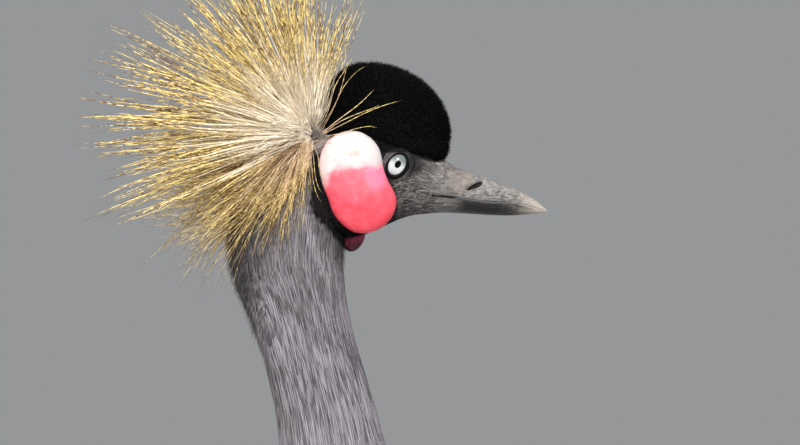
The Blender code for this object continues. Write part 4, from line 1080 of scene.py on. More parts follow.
def bill_hair():
    """Strands whose number falls off with the distance from the face."""
    rng = default_rng(51)
    row, turn = scattered(bill_side, 4200, (0.0, 2.4), (-150.0, 150.0))
    spot = bill_side(row, turn) - EYE
    away = (spot[:, 0] - 17) / 12 + np.clip((-9 - spot[:, 2]) / 30, 0, 1)
    keep = rng.random(len(row)) > away
    row, turn, count = row[keep], turn[keep], keep.sum()
    shape = coat(bill_side, row, turn, rng.uniform(2.5, 5.0, count), 0.12, 52, shape=STRAND,
                 profile=HAIR, lifts=(-0.3, 0.2), drift=rng.normal(0, 0.5, count), height=0.8)
    return piece("bill_root_hairs", shape, bpy.data.materials["face_hair"])


bill_hair()

# %% [markdown]
# ## Eyes
# The eye is a glossy ball behind an oval opening. Its iris is pale, and its small pupil an upright
# oval; both are painted by distance from the middle of the eye, so the ball stays a plain sphere.
# The lid is a ring of dark wrinkled skin: a closed loop of points is swept round the oval opening.

# %% Eyes and lids
OPENING, OVAL = (-0.6, 0.0), np.radians(57.0)  # its middle, and the slant of its long axis
LONG, SHORT = 5.9, 4.2  # its half lengths
PUPIL, PUPIL_SLANT = (-0.1, 0.2), 1.05
BALL, BALL_OUT = 9.5, 10.4  # the ball's radius, and its middle from the middle of the head


def eyeball(side):
    """middle + radius * sphere, its poles on the axis across the head."""
    lat, lon = grid(0.5, 179.5, 60, 80)
    up, out = ring(lat)
    c, s = ring(lon)
    return lofted(EYE + np.stack([BALL * out * c, side * (BALL_OUT + BALL * up), BALL * out * s],
                                 -1))


def opening_share(x, z):
    """0 in the opening's middle, 1 on its rim: the root of (along/LONG)^2 + (across/SHORT)^2."""
    along, across = slanted(x, z, OPENING, OVAL)
    return (along * along * (1 / LONG ** 2) + across * across * (1 / SHORT ** 2)).math("SQRT")


def eye_finish():
    """Black oval pupil, a paler ring round it, fine rays, and the lid's shade along the top."""
    finish = Finish("eye_iris")
    spot = finish.place()
    x, _, z = spot.parts()
    away = opening_share(x, z)
    angle = z.math("ARCTAN2", x)
    rays = finish.node("CombineXYZ", {}, {0: angle * 6.0, 1: away * 1.6})
    streak = finish.noise(rays, 1.6, 3.0, 0.6)
    iris = finish.mix(streak, (0.36, 0.39, 0.41), (0.56, 0.59, 0.60))
    shade = (z * 0.85 + x * 0.35 + (streak - 0.5) * 1.6).over(-1.4, 2.9)
    iris = finish.mix(shade * 0.9, iris, (0.085, 0.098, 0.1))
    iris = finish.mix(away.over(0.9, 1.06), iris, (0.006, 0.006, 0.006))
    px, pz = slanted(x, z, PUPIL, PUPIL_SLANT)
    pupil = (px * px / 4.4 + pz * pz / 2.4).math("SQRT")
    iris = finish.mix(pupil.over(1.4, 1.1) * 0.2, iris, (0.6, 0.63, 0.64))
    colour = finish.mix(pupil.over(1.12, 0.95), iris, (0.001, 0.001, 0.001))
    return finish.end(colour, 0.2, Specular_IOR_Level=0.12, Coat_Weight=0.04, Coat_Roughness=0.04)


def lid_shape(side):
    """A closed section of twelve points (how far outside the opening, how far out) swept round
    it, wrinkled by a sine of the angle."""
    section = np.array([(0.0, 18.25), (0.25, 18.75), (0.8, 19.0), (1.4, 18.85), (2.0, 18.4),
                        (2.5, 18.05), (3.0, 17.95), (3.5, 17.75), (4.3, 16.9), (4.9, 15.6),
                        (2.4, 15.2), (0.4, 16.4)])
    closed = np.append(section, section[:1], 0).T
    fine, out = (np.interp(np.arange(48) / 4, np.arange(13), way) for way in closed)
    angle = np.radians(np.arange(120) * 3)
    grow, angle = np.meshgrid(fine, angle, indexing="xy")
    out = np.broadcast_to(out, grow.shape)
    wrinkle = 0.16 * np.sin(angle * 31 + grow * 2) * np.clip(grow - 1.2, 0, 1)
    along = (LONG + grow * 0.92) * np.cos(angle)
    across = (SHORT + grow) * np.sin(angle)
    c, s = np.cos(OVAL), np.sin(OVAL)
    x, z = OPENING[0] + along * c - across * s, OPENING[1] + along * s + across * c
    return torus(EYE + np.stack([x, side * (out + wrinkle), z], -1))


def torus(rings):
    """Like lofted, but the last ring joins the first, so that there are no ends."""
    rows, sides, _ = rings.shape
    index = np.arange(rows * sides).reshape(rows, sides)
    turned, ahead = np.roll(index, -1, axis=1), np.roll(index, -1, axis=0)
    quads = np.stack([index, turned, np.roll(turned, -1, axis=0), ahead], -1).reshape(-1, 4)
    along = np.repeat(np.arange(rows) / rows, sides)
    across = np.tile(np.arange(sides) / sides, rows)
    return shaped(rings.reshape(-1, 3), quads, np.zeros((0, 3), int), along, across)


def lid_finish():
    """A black rim, broader below, then grey wrinkled skin, with painted shade in the fold over the
    eye.
    """
    finish = Finish("eyelid_skin")
    spot = finish.place()
    x, _, z = spot.parts()
    fine = finish.noise(spot, 1.4, 3.0, 0.6)
    away = opening_share(x, z) + (fine - 0.5) * 0.1
    black = z.over(3.5, -2.0, 1.2, 1.4) + x.over(1.0, 5.0) * 0.06 + z.over(-3, -6) * 0.08
    grey = finish.mix(fine * 2.6 - 0.9, (0.016, 0.015, 0.015), (0.15, 0.138, 0.138))
    # a dark line along the lid's fold over the eye: painted shade in the crease
    crease = (away - 1.62).math("ABSOLUTE").over(0.07, 0.02) * z.over(0.0, 4.0)
    grey = finish.mix(crease * 0.85, grey, (0.006, 0.006, 0.006))
    grey = finish.mix(eye_shade(x, z, fine), grey, DARK_SKIN)
    colour = finish.mix((away - black).over(-0.05, 0.09), (0.002, 0.002, 0.002), grey)
    colour = finish.mix(velvet(x, z, fine), colour, CAP_BLACK)
    return finish.end(colour, 0.6, finish.cells(spot, 1.6) + fine, 0.4, 0.3,
                      Specular_IOR_Level=0.08)


IRIS, LID = eye_finish(), lid_finish()
for word, side in SIDES:
    piece("eyeball_" + word, eyeball(side), IRIS, ("eye_" + word,))
    piece("eyelid_" + word, lid_shape(side), LID)

# %% [markdown]
# ## Room for the crown
# The bristles of the crown have to pass the cap, the cheeks and the neck without running into
# them. Testing every bristle against meshes would be slow. How far head and neck reach sideways at
# any place also follows from the formulas that made them, so that is worked out here for whole
# arrays of places at once.

# %% How far head and neck reach sideways
def skull_side(x, z, grow):
    """Half width of the skull at a place: width * (1 - |up|^p)^(1/p) in the slice there."""
    rows = at_row(HEAD, np.linspace(0, 7, 90))
    top, bottom, width = (np.interp(x, rows[:, 0], rows[:, k]) for k in (1, 2, 3))
    up = np.abs(z - (top + bottom) / 2) / ((top - bottom) / 2 + grow)
    side = (width + grow) * (1 - np.minimum(up, 1) ** SKULL_POWER) ** (1 / SKULL_POWER)
    return np.where((x > -62 - grow) & (x < 17 + grow), side, 0)


def neck_side(x, z, grow):
    """Half width of the neck at a place, in the slice whose middle is nearest."""
    rows = at_row(TRUNK, np.linspace(9, 17.9, 90))
    run = unit(np.gradient(rows[:, :2], axis=0))
    px, pz = x + EYE[0], z + EYE[2]
    nearest = ((px[..., None] - rows[:, 0]) ** 2 + (pz[..., None] - rows[:, 1]) ** 2).argmin(-1)
    middle, run = rows[nearest], run[nearest]
    dx, dz = px - middle[..., 0], pz - middle[..., 1]
    back = (-dx * run[..., 1] + dz * run[..., 0]) / (middle[..., 2] + grow)
    along = np.abs(dx * run[..., 0] + dz * run[..., 1])
    side = (middle[..., 3] + grow) * np.sqrt(1 - np.minimum(np.abs(back), 1) ** 2)
    return np.where(along < 8, side, 0)


def cap_side(x, z, grow):
    """Half width of the cap at a place, by the same formula as its surface."""
    dx, dz = x - CAP_MIDDLE[0], z - CAP_MIDDLE[1]
    level = np.abs(dx) / (np.where(dx > 0, CAP_FRONT, CAP_REAR) + grow)
    power = np.where(dz > 0, 2.0, CAP_FULL)
    up = np.abs(dz) / (np.where(dz > 0, CAP_UP, CAP_MIDDLE[1] - cap_brim(x)) + grow)
    room = (1 - np.minimum(up, 1) ** power) ** (2 / power) - level ** 2
    return (np.interp(x, *CAP_WIDTH.T) + grow) * np.sqrt(np.maximum(room, 0))


def side_reach(x, z, grow):
    """The widest of skull, neck, cap and cheek at a place, each made wider by grow."""
    share = cheek_share(x, z)
    cheek = np.where(share < 1 + grow / 20, cheek_out(share) + grow, 0)
    return np.maximum.reduce([skull_side(x, z, grow), neck_side(x, z, grow * 2),
                              cap_side(x, z, grow), cheek])


# %% [markdown]
# ## The crown of bristles
# From a hub at the back of the skull stand well over a thousand stiff bristles, straw gold with
# whitish roots and dark tips. They keep together in bundles, like a wet brush. Directions spread
# evenly over a sphere come from the golden angle, one to each bundle; those outside the fan are
# dropped. A bristle that would run into the head or neck turns aside, or is left out. A skirt of
# finer, browner ones falls over both sides of the nape, a short ruff closes the middle, and a few
# strays cross the cap and the cheek's hind rim.

# %% Crest
CREST_LEAN, CREST_SPREAD = 140.0, 74.0  # middle of the fan up from the bill, and its half width
CREST_FIRST, CREST_LAST = 70.0, 258.0  # bundles outside these angles are dropped
FALLEN_FROM = 206.0  # bristles that point lower than this have the skirt's finish
CREST_BEND = 40.0  # mm that a tip may be turned aside to clear head and neck
BUNDLES, BRISTLES_EACH, SKIRT, RUFF = 270, 8, 1700, 420  # bundles over a whole sphere
# more bundles, low on either side: degrees up and degrees aside
LOW_BUNDLES = np.array([(213, 9), (218, 17), (223, 11), (228, 19), (232, 13), (237, 22)], float)
# degrees up from the way the bill points, and how long a bristle is there
CREST_LENGTH = np.array([(60, 80), (75, 90), (100, 110), (130, 117), (146, 118), (158, 123),
                         (170, 134), (180, 130), (190, 130), (210, 124), (229, 112), (244, 90),
                         (262, 50)], float)
# share of a bristle, and its thickness there
BRISTLE = np.array([(0, 0.8), (0.05, 1), (0.14, 1), (0.24, 1), (0.35, 1), (0.46, 0.95),
                    (0.57, 0.9), (0.68, 0.82), (0.79, 0.68), (0.9, 0.42), (1, 0)])
CLEAR = 0.3  # mm kept between a bristle and what it passes
ROOT_AWAY, ROOT_SPREAD = 6.5, 1.8  # mm from the hub to the roots, and how far they scatter


def heading(up, aside):
    """A direction from its angle up from the bill and its angle to the side, in degrees."""
    c, s = ring(up)
    flat, side = ring(aside)
    return np.stack([c * flat, side, s * flat], -1)


def bristles(lines, radius, seed):
    """Three-sided bristles along lines (count, rows, 3), their thickness by BRISTLE.

    Their finish turns gold and dark with the share in tone, and those at the sides stay paler.
    """
    count = len(lines)
    rng = default_rng(seed)
    radius = np.broadcast_to(radius, count)[:, None] * BRISTLE[:-1, 1]
    turned = unit(np.cross(unit(np.gradient(lines, axis=1)), rng.normal(0, 1, (count, 1, 3))))
    ends = unit(lines[:, -1] - HUB)
    spots = np.stack([np.arctan2(ends[:, 2], ends[:, 0]) / (2 * np.pi) % 1,
                      ends[:, 1] * 0.45 + 0.5], -1)
    shape = blades(lines, turned, radius, radius, rng.random(count), 0.01 + 0.98 * spots, HAIR)
    each = len(shape["points"]) // count
    shape["tone"][:, 1] *= np.repeat(1 - 0.6 * ends[:, 1] ** 2, each)
    return shape


def crest_lines(seed):
    """root + (tip - root) * share + swell * sin(pi share) + two sine waves that grow outwards.

    The tips of a bundle lie close together, and its bristles spread apart halfway. A few more
    bundles skim the nape on either side. A bristle that would run into head or neck turns aside in
    proportion to share, or is dropped if that is too much.
    """
    rng = default_rng(seed)
    k = np.arange(BUNDLES)
    up = np.degrees(np.pi * (3 - np.sqrt(5)) * k) % 360
    aside = np.degrees(np.arcsin(1 - 2 * (k + 0.5) / BUNDLES)) / CREST_SPREAD
    aside = CREST_SPREAD * np.sign(aside) * np.abs(aside) ** 1.5
    keep = (up > CREST_FIRST) & (up < CREST_LAST) & (np.abs(aside) < CREST_SPREAD)
    keep &= (up > 90) | (k % 2 == 0)
    low_up, low_aside = LOW_BUNDLES.T
    up = np.concatenate([up[keep], low_up, low_up + 2])
    aside = np.concatenate([aside[keep], low_aside, -low_aside])
    ends = rng.uniform(0.78, 1.12, len(up))
    ends[-2 * len(LOW_BUNDLES):] = 1.05
    up, aside, ends = (np.repeat(v, BRISTLES_EACH) for v in (up, aside, ends))
    count = len(up)
    up = up + rng.normal(0, 1.1, count)
    aside = aside + rng.normal(0, 1.1, count)
    fade = 1 - 0.25 * (aside / CREST_SPREAD) ** 2
    reach = np.interp(up, *CREST_LENGTH.T) * fade * ends * rng.uniform(0.62, 1.02, count) ** 0.6
    out = heading(up, aside)
    lean = heading(np.array(CREST_LEAN), np.array(0.0))
    roots = HUB + unit(out * 2.2 + lean) * ROOT_AWAY + rng.normal(0, ROOT_SPREAD, (count, 3))
    tips = HUB + out * reach[:, None]
    share = BRISTLE[:, 0][None, :, None]
    lines = roots[:, None] + (tips - roots)[:, None] * share
    lines = lines + np.array([0, 0, -0.06]) * (reach * out[:, 0] ** 2)[:, None, None] * share ** 2
    swell = unit(np.cross(out, rng.normal(0, 1, (count, 3))))[:, None]
    lines = lines + swell * rng.uniform(0.3, 4.0, (count, 1, 1)) * np.sin(np.pi * share)
    for waves, swing in ((1.1, 2.0), (2.7, 0.8)):
        way = unit(np.cross(out, rng.normal(0, 1, (count, 3))))[:, None]
        phase = rng.uniform(0, 2 * np.pi, (count, 1, 1))
        size = swing * rng.uniform(0.3, 1.2, (count, 1, 1))
        lines = lines + way * size * np.sin(2 * np.pi * waves * share + phase) * share
    reach = side_reach(lines[:, 2:, 0] - EYE[0], lines[:, 2:, 2] - EYE[2], 1.0)
    short = (reach - np.abs(lines[:, 2:, 1])) * (reach > 0) / BRISTLE[2:, 0]
    turned = np.maximum(short.max(1), 0)
    lines[..., 1] += np.sign(out[:, 1])[:, None] * turned[:, None] * BRISTLE[:, 0]
    return lines[turned < CREST_BEND]


def flank_lines(rng, up, reach, root, least=1.0):
    """Bristles on both flanks of the hub, at angles up. Over a distance away from it they stand
    out by the most of what lies under them and a share, from least to 1, of the hub's own side or
    of wide * (1 - exp(-0.7 (away - 2) / wide)), whichever is more.
    """
    count = len(up)
    side = np.repeat([-1.0, 1.0], count // 2)
    share = BRISTLE[:, 0]
    away = root[:, None] + (reach - root)[:, None] * share
    bend = up[:, None] - 22 * rng.uniform(-0.6, 1, (count, 1)) * share ** 1.5
    c, s = ring(bend)
    x, z = HUB[0] + away * c, HUB[2] + away * s
    out = side_reach(x - EYE[0], z - EYE[2], 0.8)
    out = np.maximum(out, np.roll(out, 1, 1) * (share > 0))
    wide = rng.uniform(16, 46, count)[:, None]
    rise = wide * (1 - np.exp(-(away - 2) * 0.7 / wide))
    hub = HUB_SIZE[1] + rng.uniform(0.3, 1.6, count)[:, None] - away * 0.06
    part = rng.uniform(least, 1.0, count)[:, None]
    out = np.maximum(out + CLEAR, part * np.maximum(rise, hub))
    return np.stack([x, side[:, None] * out, z], -1)


def skirt_lines(seed, count):
    """Bristles that fall over both sides of the nape, fewer towards the cheek; those that clear
    it behind close the middle too."""
    rng = default_rng(seed)
    up = 262 - 66 * rng.random(count) ** 0.6
    reach = rng.uniform(18, np.interp(up, (196, 225, 240, 262), (90, 112, 80, 38)))
    return flank_lines(rng, up, reach, rng.uniform(4, 9, count), np.interp(up, (210, 230), (0, 1)))


def ruff_lines(seed, count):
    """Short bristles round the rest of the hub, which close the crown's middle."""
    rng = default_rng(seed)
    up = rng.uniform(116, 215, count)
    return flank_lines(rng, up, rng.uniform(20, 58, count), rng.uniform(2.0, 7.0, count))


# bristles that stray over the side of the cap or the cheek's hind rim: places (x, z) from the eye
STRAYS = ([(-40, 16), (-30, 21), (-18, 27), (-8, 31), (3.5, 34)],
          [(-40, 17), (-31, 24), (-22, 31), (-17, 36), (-12.5, 40)],
          [(-41, 17), (-34, 30), (-30, 41), (-27, 52), (-21, 62)],
          [(-41, 19), (-34, 31), (-29, 41), (-23, 48), (-16, 52)],
          [(-42, 18), (-37, 29), (-33, 42), (-28, 50), (-26, 57)],
          [(-38, 15), (-28, 17), (-23, 18.6), (-17, 20.3), (-11, 19.6)],
          [(-40, 16), (-32, 22), (-23, 26), (-15, 29.5), (-9, 32)],
          [(-45, 14), (-42, 15.4), (-39, 15.8), (-36, 15), (-33, 13.6)],
          [(-45, 12), (-42, 12.8), (-39, 12.6), (-36.5, 11.8), (-35, 10.5)],
          [(-45, 11), (-42.5, 5), (-42, -1), (-40.5, -7), (-38, -12)],
          [(-46, 10), (-44.5, 3), (-43.5, -5), (-42, -11), (-39.5, -16)],
          [(-46, 9), (-45.5, 1), (-45, -8), (-43.5, -15), (-41, -21)])


def stray_lines():
    """The strays of both sides, a little different on each, laid just outside the head."""
    rng = default_rng(65)
    paths = np.array(STRAYS, float)
    paths = paths + rng.normal(0, 1, paths.shape) * (np.linspace(0, 1, 5) ** 1.5 * 0.6)[:, None]
    paths = np.concatenate([paths, paths])
    path = np.stack([at_row(p, np.linspace(0, 4, len(BRISTLE))) for p in paths])
    x, z = path[..., 0], path[..., 1]
    out = side_reach(x, z, 0.6)
    out = np.maximum.reduce([out, np.roll(out, 1, 1) - 0.5, np.roll(out, -1, 1) - 0.5])
    out = np.maximum(out, 7.0) + rng.uniform(CLEAR, 1.2, (len(path), 1))
    side = np.repeat([-1.0, 1.0], len(paths) // 2)[:, None]
    return EYE + np.stack([x, side * out, z], -1)


def straw_finish(name, low, high, bright):
    """From low to high at the root, straw gold along most of it, brown black at the tip. The
    bristle is twisted like a cord, so a light and a dark stripe wind round it."""
    finish = Finish(name)
    chance, share, across = finish.tone()
    spot = finish.place()
    band = finish.noise(spot, 0.55, 3.0, 0.6)
    long = finish.noise(spot, 0.13, 3.0, 0.6)
    wind = (share * 55 + across * 3.1 + chance * 40 + long * 22).math("SINE") * 0.5 + 0.5
    stripe = wind * 0.85 + chance * 0.5 + (band - 0.5) * 0.7 - 0.2
    gold = finish.mix(stripe, (0.13, 0.052, 0.011), (1.0, 0.79, 0.31))
    pale = finish.mix(stripe * 0.7 + bright, low, high)
    colour = finish.mix((share + (chance - 0.5) * 0.22).over(0.22, 0.6), pale, gold)
    colour = finish.mix((share + (chance - 0.5) * 0.14).over(0.87, 1.0) * 0.85, colour,
                        (0.045, 0.032, 0.016))
    root = (share + (band - 0.5) * 0.03).over(0.045, 0.01)
    colour = finish.mix(root * 0.4, colour, (0.3, 0.24, 0.2))
    return finish.end(colour, 0.55, band, 0.2, 0.2, Specular_IOR_Level=0.3)


STRAW = straw_finish("straw_bristle", (0.97, 0.76, 0.53), (1.0, 0.94, 0.81), 0.6)
TAN = straw_finish("tan_bristle", (0.32, 0.19, 0.1), (0.9, 0.7, 0.48), 0.1)
crest = crest_lines(61)
rng = default_rng(62)
span = np.linalg.norm(crest[:, -1] - crest[:, 0], axis=-1)
thick = rng.uniform(0.28, 0.52, len(crest)) * np.clip(span / 100, 0.5, 1)
ends = crest[:, -1] - HUB
low = np.degrees(np.arctan2(ends[:, 2], ends[:, 0])) % 360 > FALLEN_FROM
crown = bristles(crest[~low], thick[~low], 63)
fallen = bristles(crest[low], thick[low] * 0.8, 72)
strays = bristles(stray_lines(), 0.19, 64)
inner = crest_lines(66)[::3]
inner = HUB + (inner - HUB) * rng.uniform(0.22, 0.5, (len(inner), 1, 1))
inner = bristles(inner, 0.26, 67)
inner["tone"][:, 1] *= 0.5
ruff = bristles(ruff_lines(70, RUFF), 0.21, 71)
ruff["tone"][:, :2] *= (0.5, 0.6)
piece("crest_bristles", joined(crown, inner, ruff), STRAW, ("crest",))
skirt = bristles(skirt_lines(68, SKIRT), rng.uniform(0.12, 0.25, SKIRT), 69)
skirt["tone"][:, :2] = skirt["tone"][:, :2] * (0.55, 0.55) + (0.05, 0.22)
piece("crest_skirt", joined(skirt, strays, fallen), TAN)
print(len(crest), "long bristles")

# %% [markdown]
# ## Body plumage
# Back, breast and thighs wear slate-black feathers, broader than those of the neck and laid the
# same way. On the lower breast and the rump they grow long and loose, so that they hide where the
# neck ends and where the tail begins.

# %% Body coats
BODY_DOWN = plumage_finish("body_down", 0.66)


def body_coat(name, surface, count, rows, length, width, seed, turns=(0.0, 360.0), flow=-1,
              lifts=(-2.6, 1.2)):
    """Broad feathers over a stretch of a surface, each a little longer, wider or more raised; two
    widths are those of the first and the last row."""
    rng = default_rng(seed)
    row, turn = scattered(surface, count, rows, turns)
    width = np.interp(row, rows, np.broadcast_to(width, 2))
    long = length * rng.uniform(0.8, 1.2, count)
    shape = coat(surface, row, turn, long, width * rng.uniform(0.8, 1.15, count), seed,
                 shape=BODY_FEATHER, lifts=(lifts[0], lifts[1] + rng.uniform(-0.8, 0.8, count)),
                 flow=flow, drift=rng.normal(0, 2.5, count), height=0.16)
    return piece(name, shape, BODY_DOWN)


body_coat("body_feathers", trunk, 5200, (0.35, 7.9), 44, (5.4, 2.5), 71)
body_coat("rump_feathers", trunk, 260, (0.0, 1.1), 62, 6.0, 72, (-75.0, 75.0), lifts=(-2.0, 3.0))
body_coat("breast_plumes", trunk, 900, (5.6, 8.6), 74, 2.6, 73, (105.0, 255.0), lifts=(-1.0, 4.0))
for word, side in SIDES:
    body_coat("thigh_feathers_" + word, limb(THIGH, side), 900, (0.2, 3.95), 27, 3.0, 74,
              flow=1, lifts=(-2.4, 0.4))

# %% [markdown]
# ## Finish of broad feathers
# A broad feather has a dark shaft and hundreds of barbs that slant away from it. Modelling barbs
# would take millions of faces, so they are a sine wave across the feather's own coordinates, used
# for the colour and for the bump. Its rim is worn paler or darker.

# %% Feather finishes
BARBS, BARB_SLANT = 420.0, 130.0  # radians of the barbs' wave along the feather and across it


def feather_finish(name, low, high, edge, rough=0.6, spread=0.5, root=None):
    """Barbs as fine slanting lines, a dark shaft, a rim worn to another colour, and a dark root,
    or one of its own colour."""
    finish = Finish(name)
    chance, share, across = finish.tone()
    spot = finish.place()
    soft = finish.noise(spot, 0.14, 3.0)
    off = (across - 0.5).math("ABSOLUTE")
    barb = (share * BARBS - off * BARB_SLANT + soft * 9).math("SINE") * 0.5 + 0.5
    level = chance * spread + soft * 0.6 + barb * 0.18 - 0.2
    colour = finish.mix(level, low, high)
    colour = finish.mix(off.over(0.36, 0.5) * 0.6, colour, edge)
    colour = finish.mix(off.over(0.07, 0.02) * 0.5, colour, finish.shade(colour, 0.45))
    if root:
        colour = finish.mix((share + soft * 0.3).over(0.6, 0.15), colour, root)
    else:
        colour = finish.mix(share.over(0.3, 0.0) * 0.35, colour, finish.shade(colour, 0.55))
    relief = barb * 0.5 + off.over(0.08, 0.0) * 0.8
    return finish.end(colour, rough, relief, 0.35, 0.3, Specular_IOR_Level=0.3,
                      Sheen_Weight=0.1)


WHITE = feather_finish("white_feather", (0.34, 0.315, 0.27), (0.56, 0.54, 0.49),
                       (0.62, 0.60, 0.56))
CHESTNUT = feather_finish("chestnut_feather", (0.09, 0.022, 0.012), (0.24, 0.075, 0.035),
                          (0.30, 0.12, 0.06))
BLACK = feather_finish("black_feather", (0.008, 0.008, 0.010), (0.032, 0.033, 0.038),
                       (0.045, 0.045, 0.05), 0.5)

# %% [markdown]
# ## Folded wings
# A folded wing is a stack: small coverts in front, larger ones behind, each tier over the roots of
# the next, then the long flight feathers. The upper part is white, the secondaries are chestnut and
# the primaries black. Under the feathers lies a bed of the same colour, so that nothing shows
# through. A feather here is laid between a root and a tip given as places on the wing.

# %% Wing parts
SHARP = 50  # degrees between two faces from which their edge stays sharp
# section of a curved vane: its upper side from edge to edge, then its under side back
CAMBER = np.array([(-1, -0.5), (-0.55, 0.35), (0, 1), (0.55, 0.35), (1, -0.5), (0.55, 0.0),
                   (0, 0.5), (-0.55, 0.0)])
# a tier of coverts: row, length, half width, number
COVERT_TIERS = ((0.05, 26, 5.5, 9), (0.35, 32, 6.5, 12), (0.70, 40, 7.6, 14), (1.1, 46, 8.6, 15),
                (1.5, 52, 9.4, 16), (1.9, 56, 10.0, 16), (2.3, 60, 10.4, 16), (2.7, 64, 10.8, 15),
                (3.1, 68, 11.0, 14), (3.5, 72, 11.4, 13), (3.9, 68, 11.6, 12))


def spaced_turns(first, last, count):
    """Turns whose heights are evenly spaced: the arc cosine of even steps."""
    high, low = np.cos(np.radians([first, last]))
    return np.degrees(np.arccos(np.linspace(high, low, count)))


def covert_roots():
    """Root row, turn, length and half width of every covert, tier by tier, as four arrays."""
    tiers = [np.stack(np.broadcast_arrays(row, spaced_turns(12, 168, count), long, wide), 1)
             for row, long, wide, count in COVERT_TIERS]
    return np.concatenate(tiers).T


def make_coverts(word, side):
    """The white bed and its tiers, jittered so that no two wings match feather for feather."""
    rng = default_rng(81 + side)
    wing = folded_wing(side)
    row, turn, long, wide = covert_roots()
    count = len(row)
    row = row + rng.uniform(-0.06, 0.06, count)
    turn = turn + rng.uniform(-2.0, 2.0, count)
    bed = lofted(form_of(wing, 0.0, 4.35, 60, 64, 2.4, -side))
    tiers = coat(wing, row, turn, long * rng.uniform(0.92, 1.08, count), wide, 82,
                 shape=COVERT, profile=QUILL, flow=1, sign=-side, height=0.13, roll=8 * side,
                 lifts=(-2.4, 3.2 + rng.uniform(-0.6, 0.6, count)),
                 drift=rng.normal(0, 1.5, count))
    return piece("wing_coverts_" + word, joined(bed, tiers), WHITE, ("wing_" + word,),
                 SHARP)


def vanes_of(points, normals, width, height, seed):
    """Curved vanes along lines: half widths (count, rows - 1), camber = height * half width."""
    count = len(points)
    spots = np.stack([np.linspace(0.05, 0.95, count), np.full(count, 0.5)], -1)
    chance = default_rng(seed).random(count)
    return blades(points, normals, width, width * height, chance, spots, CAMBER)


def laid(surface, root, tip, width, lifts, seed, sign, roll):
    """Feathers between places: root and tip are (count, 2) rows and turns; the surface at
    root + (tip - root) * share, lifted by first + (last - first) * share^0.5."""
    share = FLIGHT[:, 0][None, :, None]
    path = root[:, None] + (tip - root)[:, None] * share
    normals = outward(surface, path[..., 0], path[..., 1], sign)
    lift = lifts[0] + (lifts[1] - lifts[0]) * share ** 0.5
    points = surface(path[..., 0], path[..., 1]) + normals * lift
    widths = np.full((len(root), 1), width) * FLIGHT[:-1, 1]
    return vanes_of(points, rolled(points, normals, roll), widths, 0.09, seed)


def flight_bed(surface, turns, last, sign):
    """A strip of the wing behind the coverts, closed along the chord between two turns."""
    row, turn = np.meshgrid(np.linspace(4.31, last, 40), np.linspace(*turns, 48), indexing="ij")
    return lofted(surface(row, turn) - outward(surface, row, turn, sign) * 4.2)


def make_flight(word, side):
    """Chestnut secondaries above and black primaries below, each fanned over its bed."""
    rng = default_rng(86 + side)
    wing, sign, roll = folded_wing(side), -side, 12 * side
    for name, node, finish, slot, count, spans, width, tips, turns, last in (
            ("secondary_vanes_", "secondaries_", CHESTNUT, "chestnut_feathers", 12, (14, 101), 10.4,
             (7.2, 7.85), (-108, 108), 7.0),
            ("primary_vanes_", "primaries_", BLACK, "black_feathers", 10, (106, 172), 8.4,
             (7.4, 8.65), (108, 252), 7.5)):
        turn = spaced_turns(*spans, count)
        root = np.stack([np.full(count, 4.1), turn], -1)
        reach = np.linspace(*tips, count) + rng.uniform(-0.05, 0.05, count)
        tip = np.stack([reach, turn + rng.uniform(-1.5, 1.5, count)], -1)
        vanes = laid(wing, root, tip, width, (-4.6, 0.4), 87, sign, roll)
        bed = flight_bed(wing, turns, last, sign)
        piece(name + word, joined(bed, vanes), finish, (node + word,), SHARP)


# the outline of a plume, and how many each wing has
PLUME = np.array([(0, 0.7), (0.15, 1), (0.35, 1), (0.55, 0.8), (0.75, 0.55), (0.9, 0.3), (1, 0)])
PLUMES = 560
STRAW_PLUME = feather_finish("straw_plume", (0.42, 0.27, 0.09), (0.80, 0.62, 0.30),
                             (0.72, 0.55, 0.28), 0.5, 0.8, (0.56, 0.53, 0.46))


def make_plumes(word, side):
    """Straw plumes that stream from the middle of the wing over the secondaries."""
    rng = default_rng(90 + side)
    wing, count = folded_wing(side), PLUMES
    row, turn = 4.7 - 3.1 * rng.random(count) ** 2.2, rng.uniform(14, 92, count)
    shape = coat(wing, row, turn, rng.uniform(60, 165, count), rng.uniform(0.8, 2.2, count), 91,
                 shape=PLUME, flow=1, sign=-side, lifts=(-1.0, rng.uniform(5.5, 11.0, count)),
                 drift=rng.normal(3, 7, count))
    return piece("straw_plumes_" + word, shape, STRAW_PLUME, ("plumes_" + word,))


for word, side in SIDES:
    make_coverts(word, side)
    make_flight(word, side)
    make_plumes(word, side)

# %% [markdown]
# ## Tail
# Twelve black feathers lie closed like a hand fan, the middle pair on top. Each runs down a
# straight line that leans outwards, and drops a little with its distance from the middle, which
# makes the tail a low roof.

# %% Tail
TAIL_START, TAIL_SLOPE = np.array([-156.0, 0, 404.0]), 52.0
TAIL_LENGTH, TAIL_FEATHERS, TAIL_WIDE = 251.0, 12, 10.2  # mm, number, half width of one in mm
# outline of a tail feather, and its core's rows: share of the tail, half width, half thickness
RECTRIX = np.array([(0, 0.5), (0.2, 0.66), (0.4, 0.8), (0.6, 0.92), (0.78, 1), (0.9, 0.98),
                    (0.965, 0.74), (1, 0)])
TAIL_CORE = np.array([(-0.03, 16, 12), (0.16, 13, 6.5), (0.3, 6, 2)])


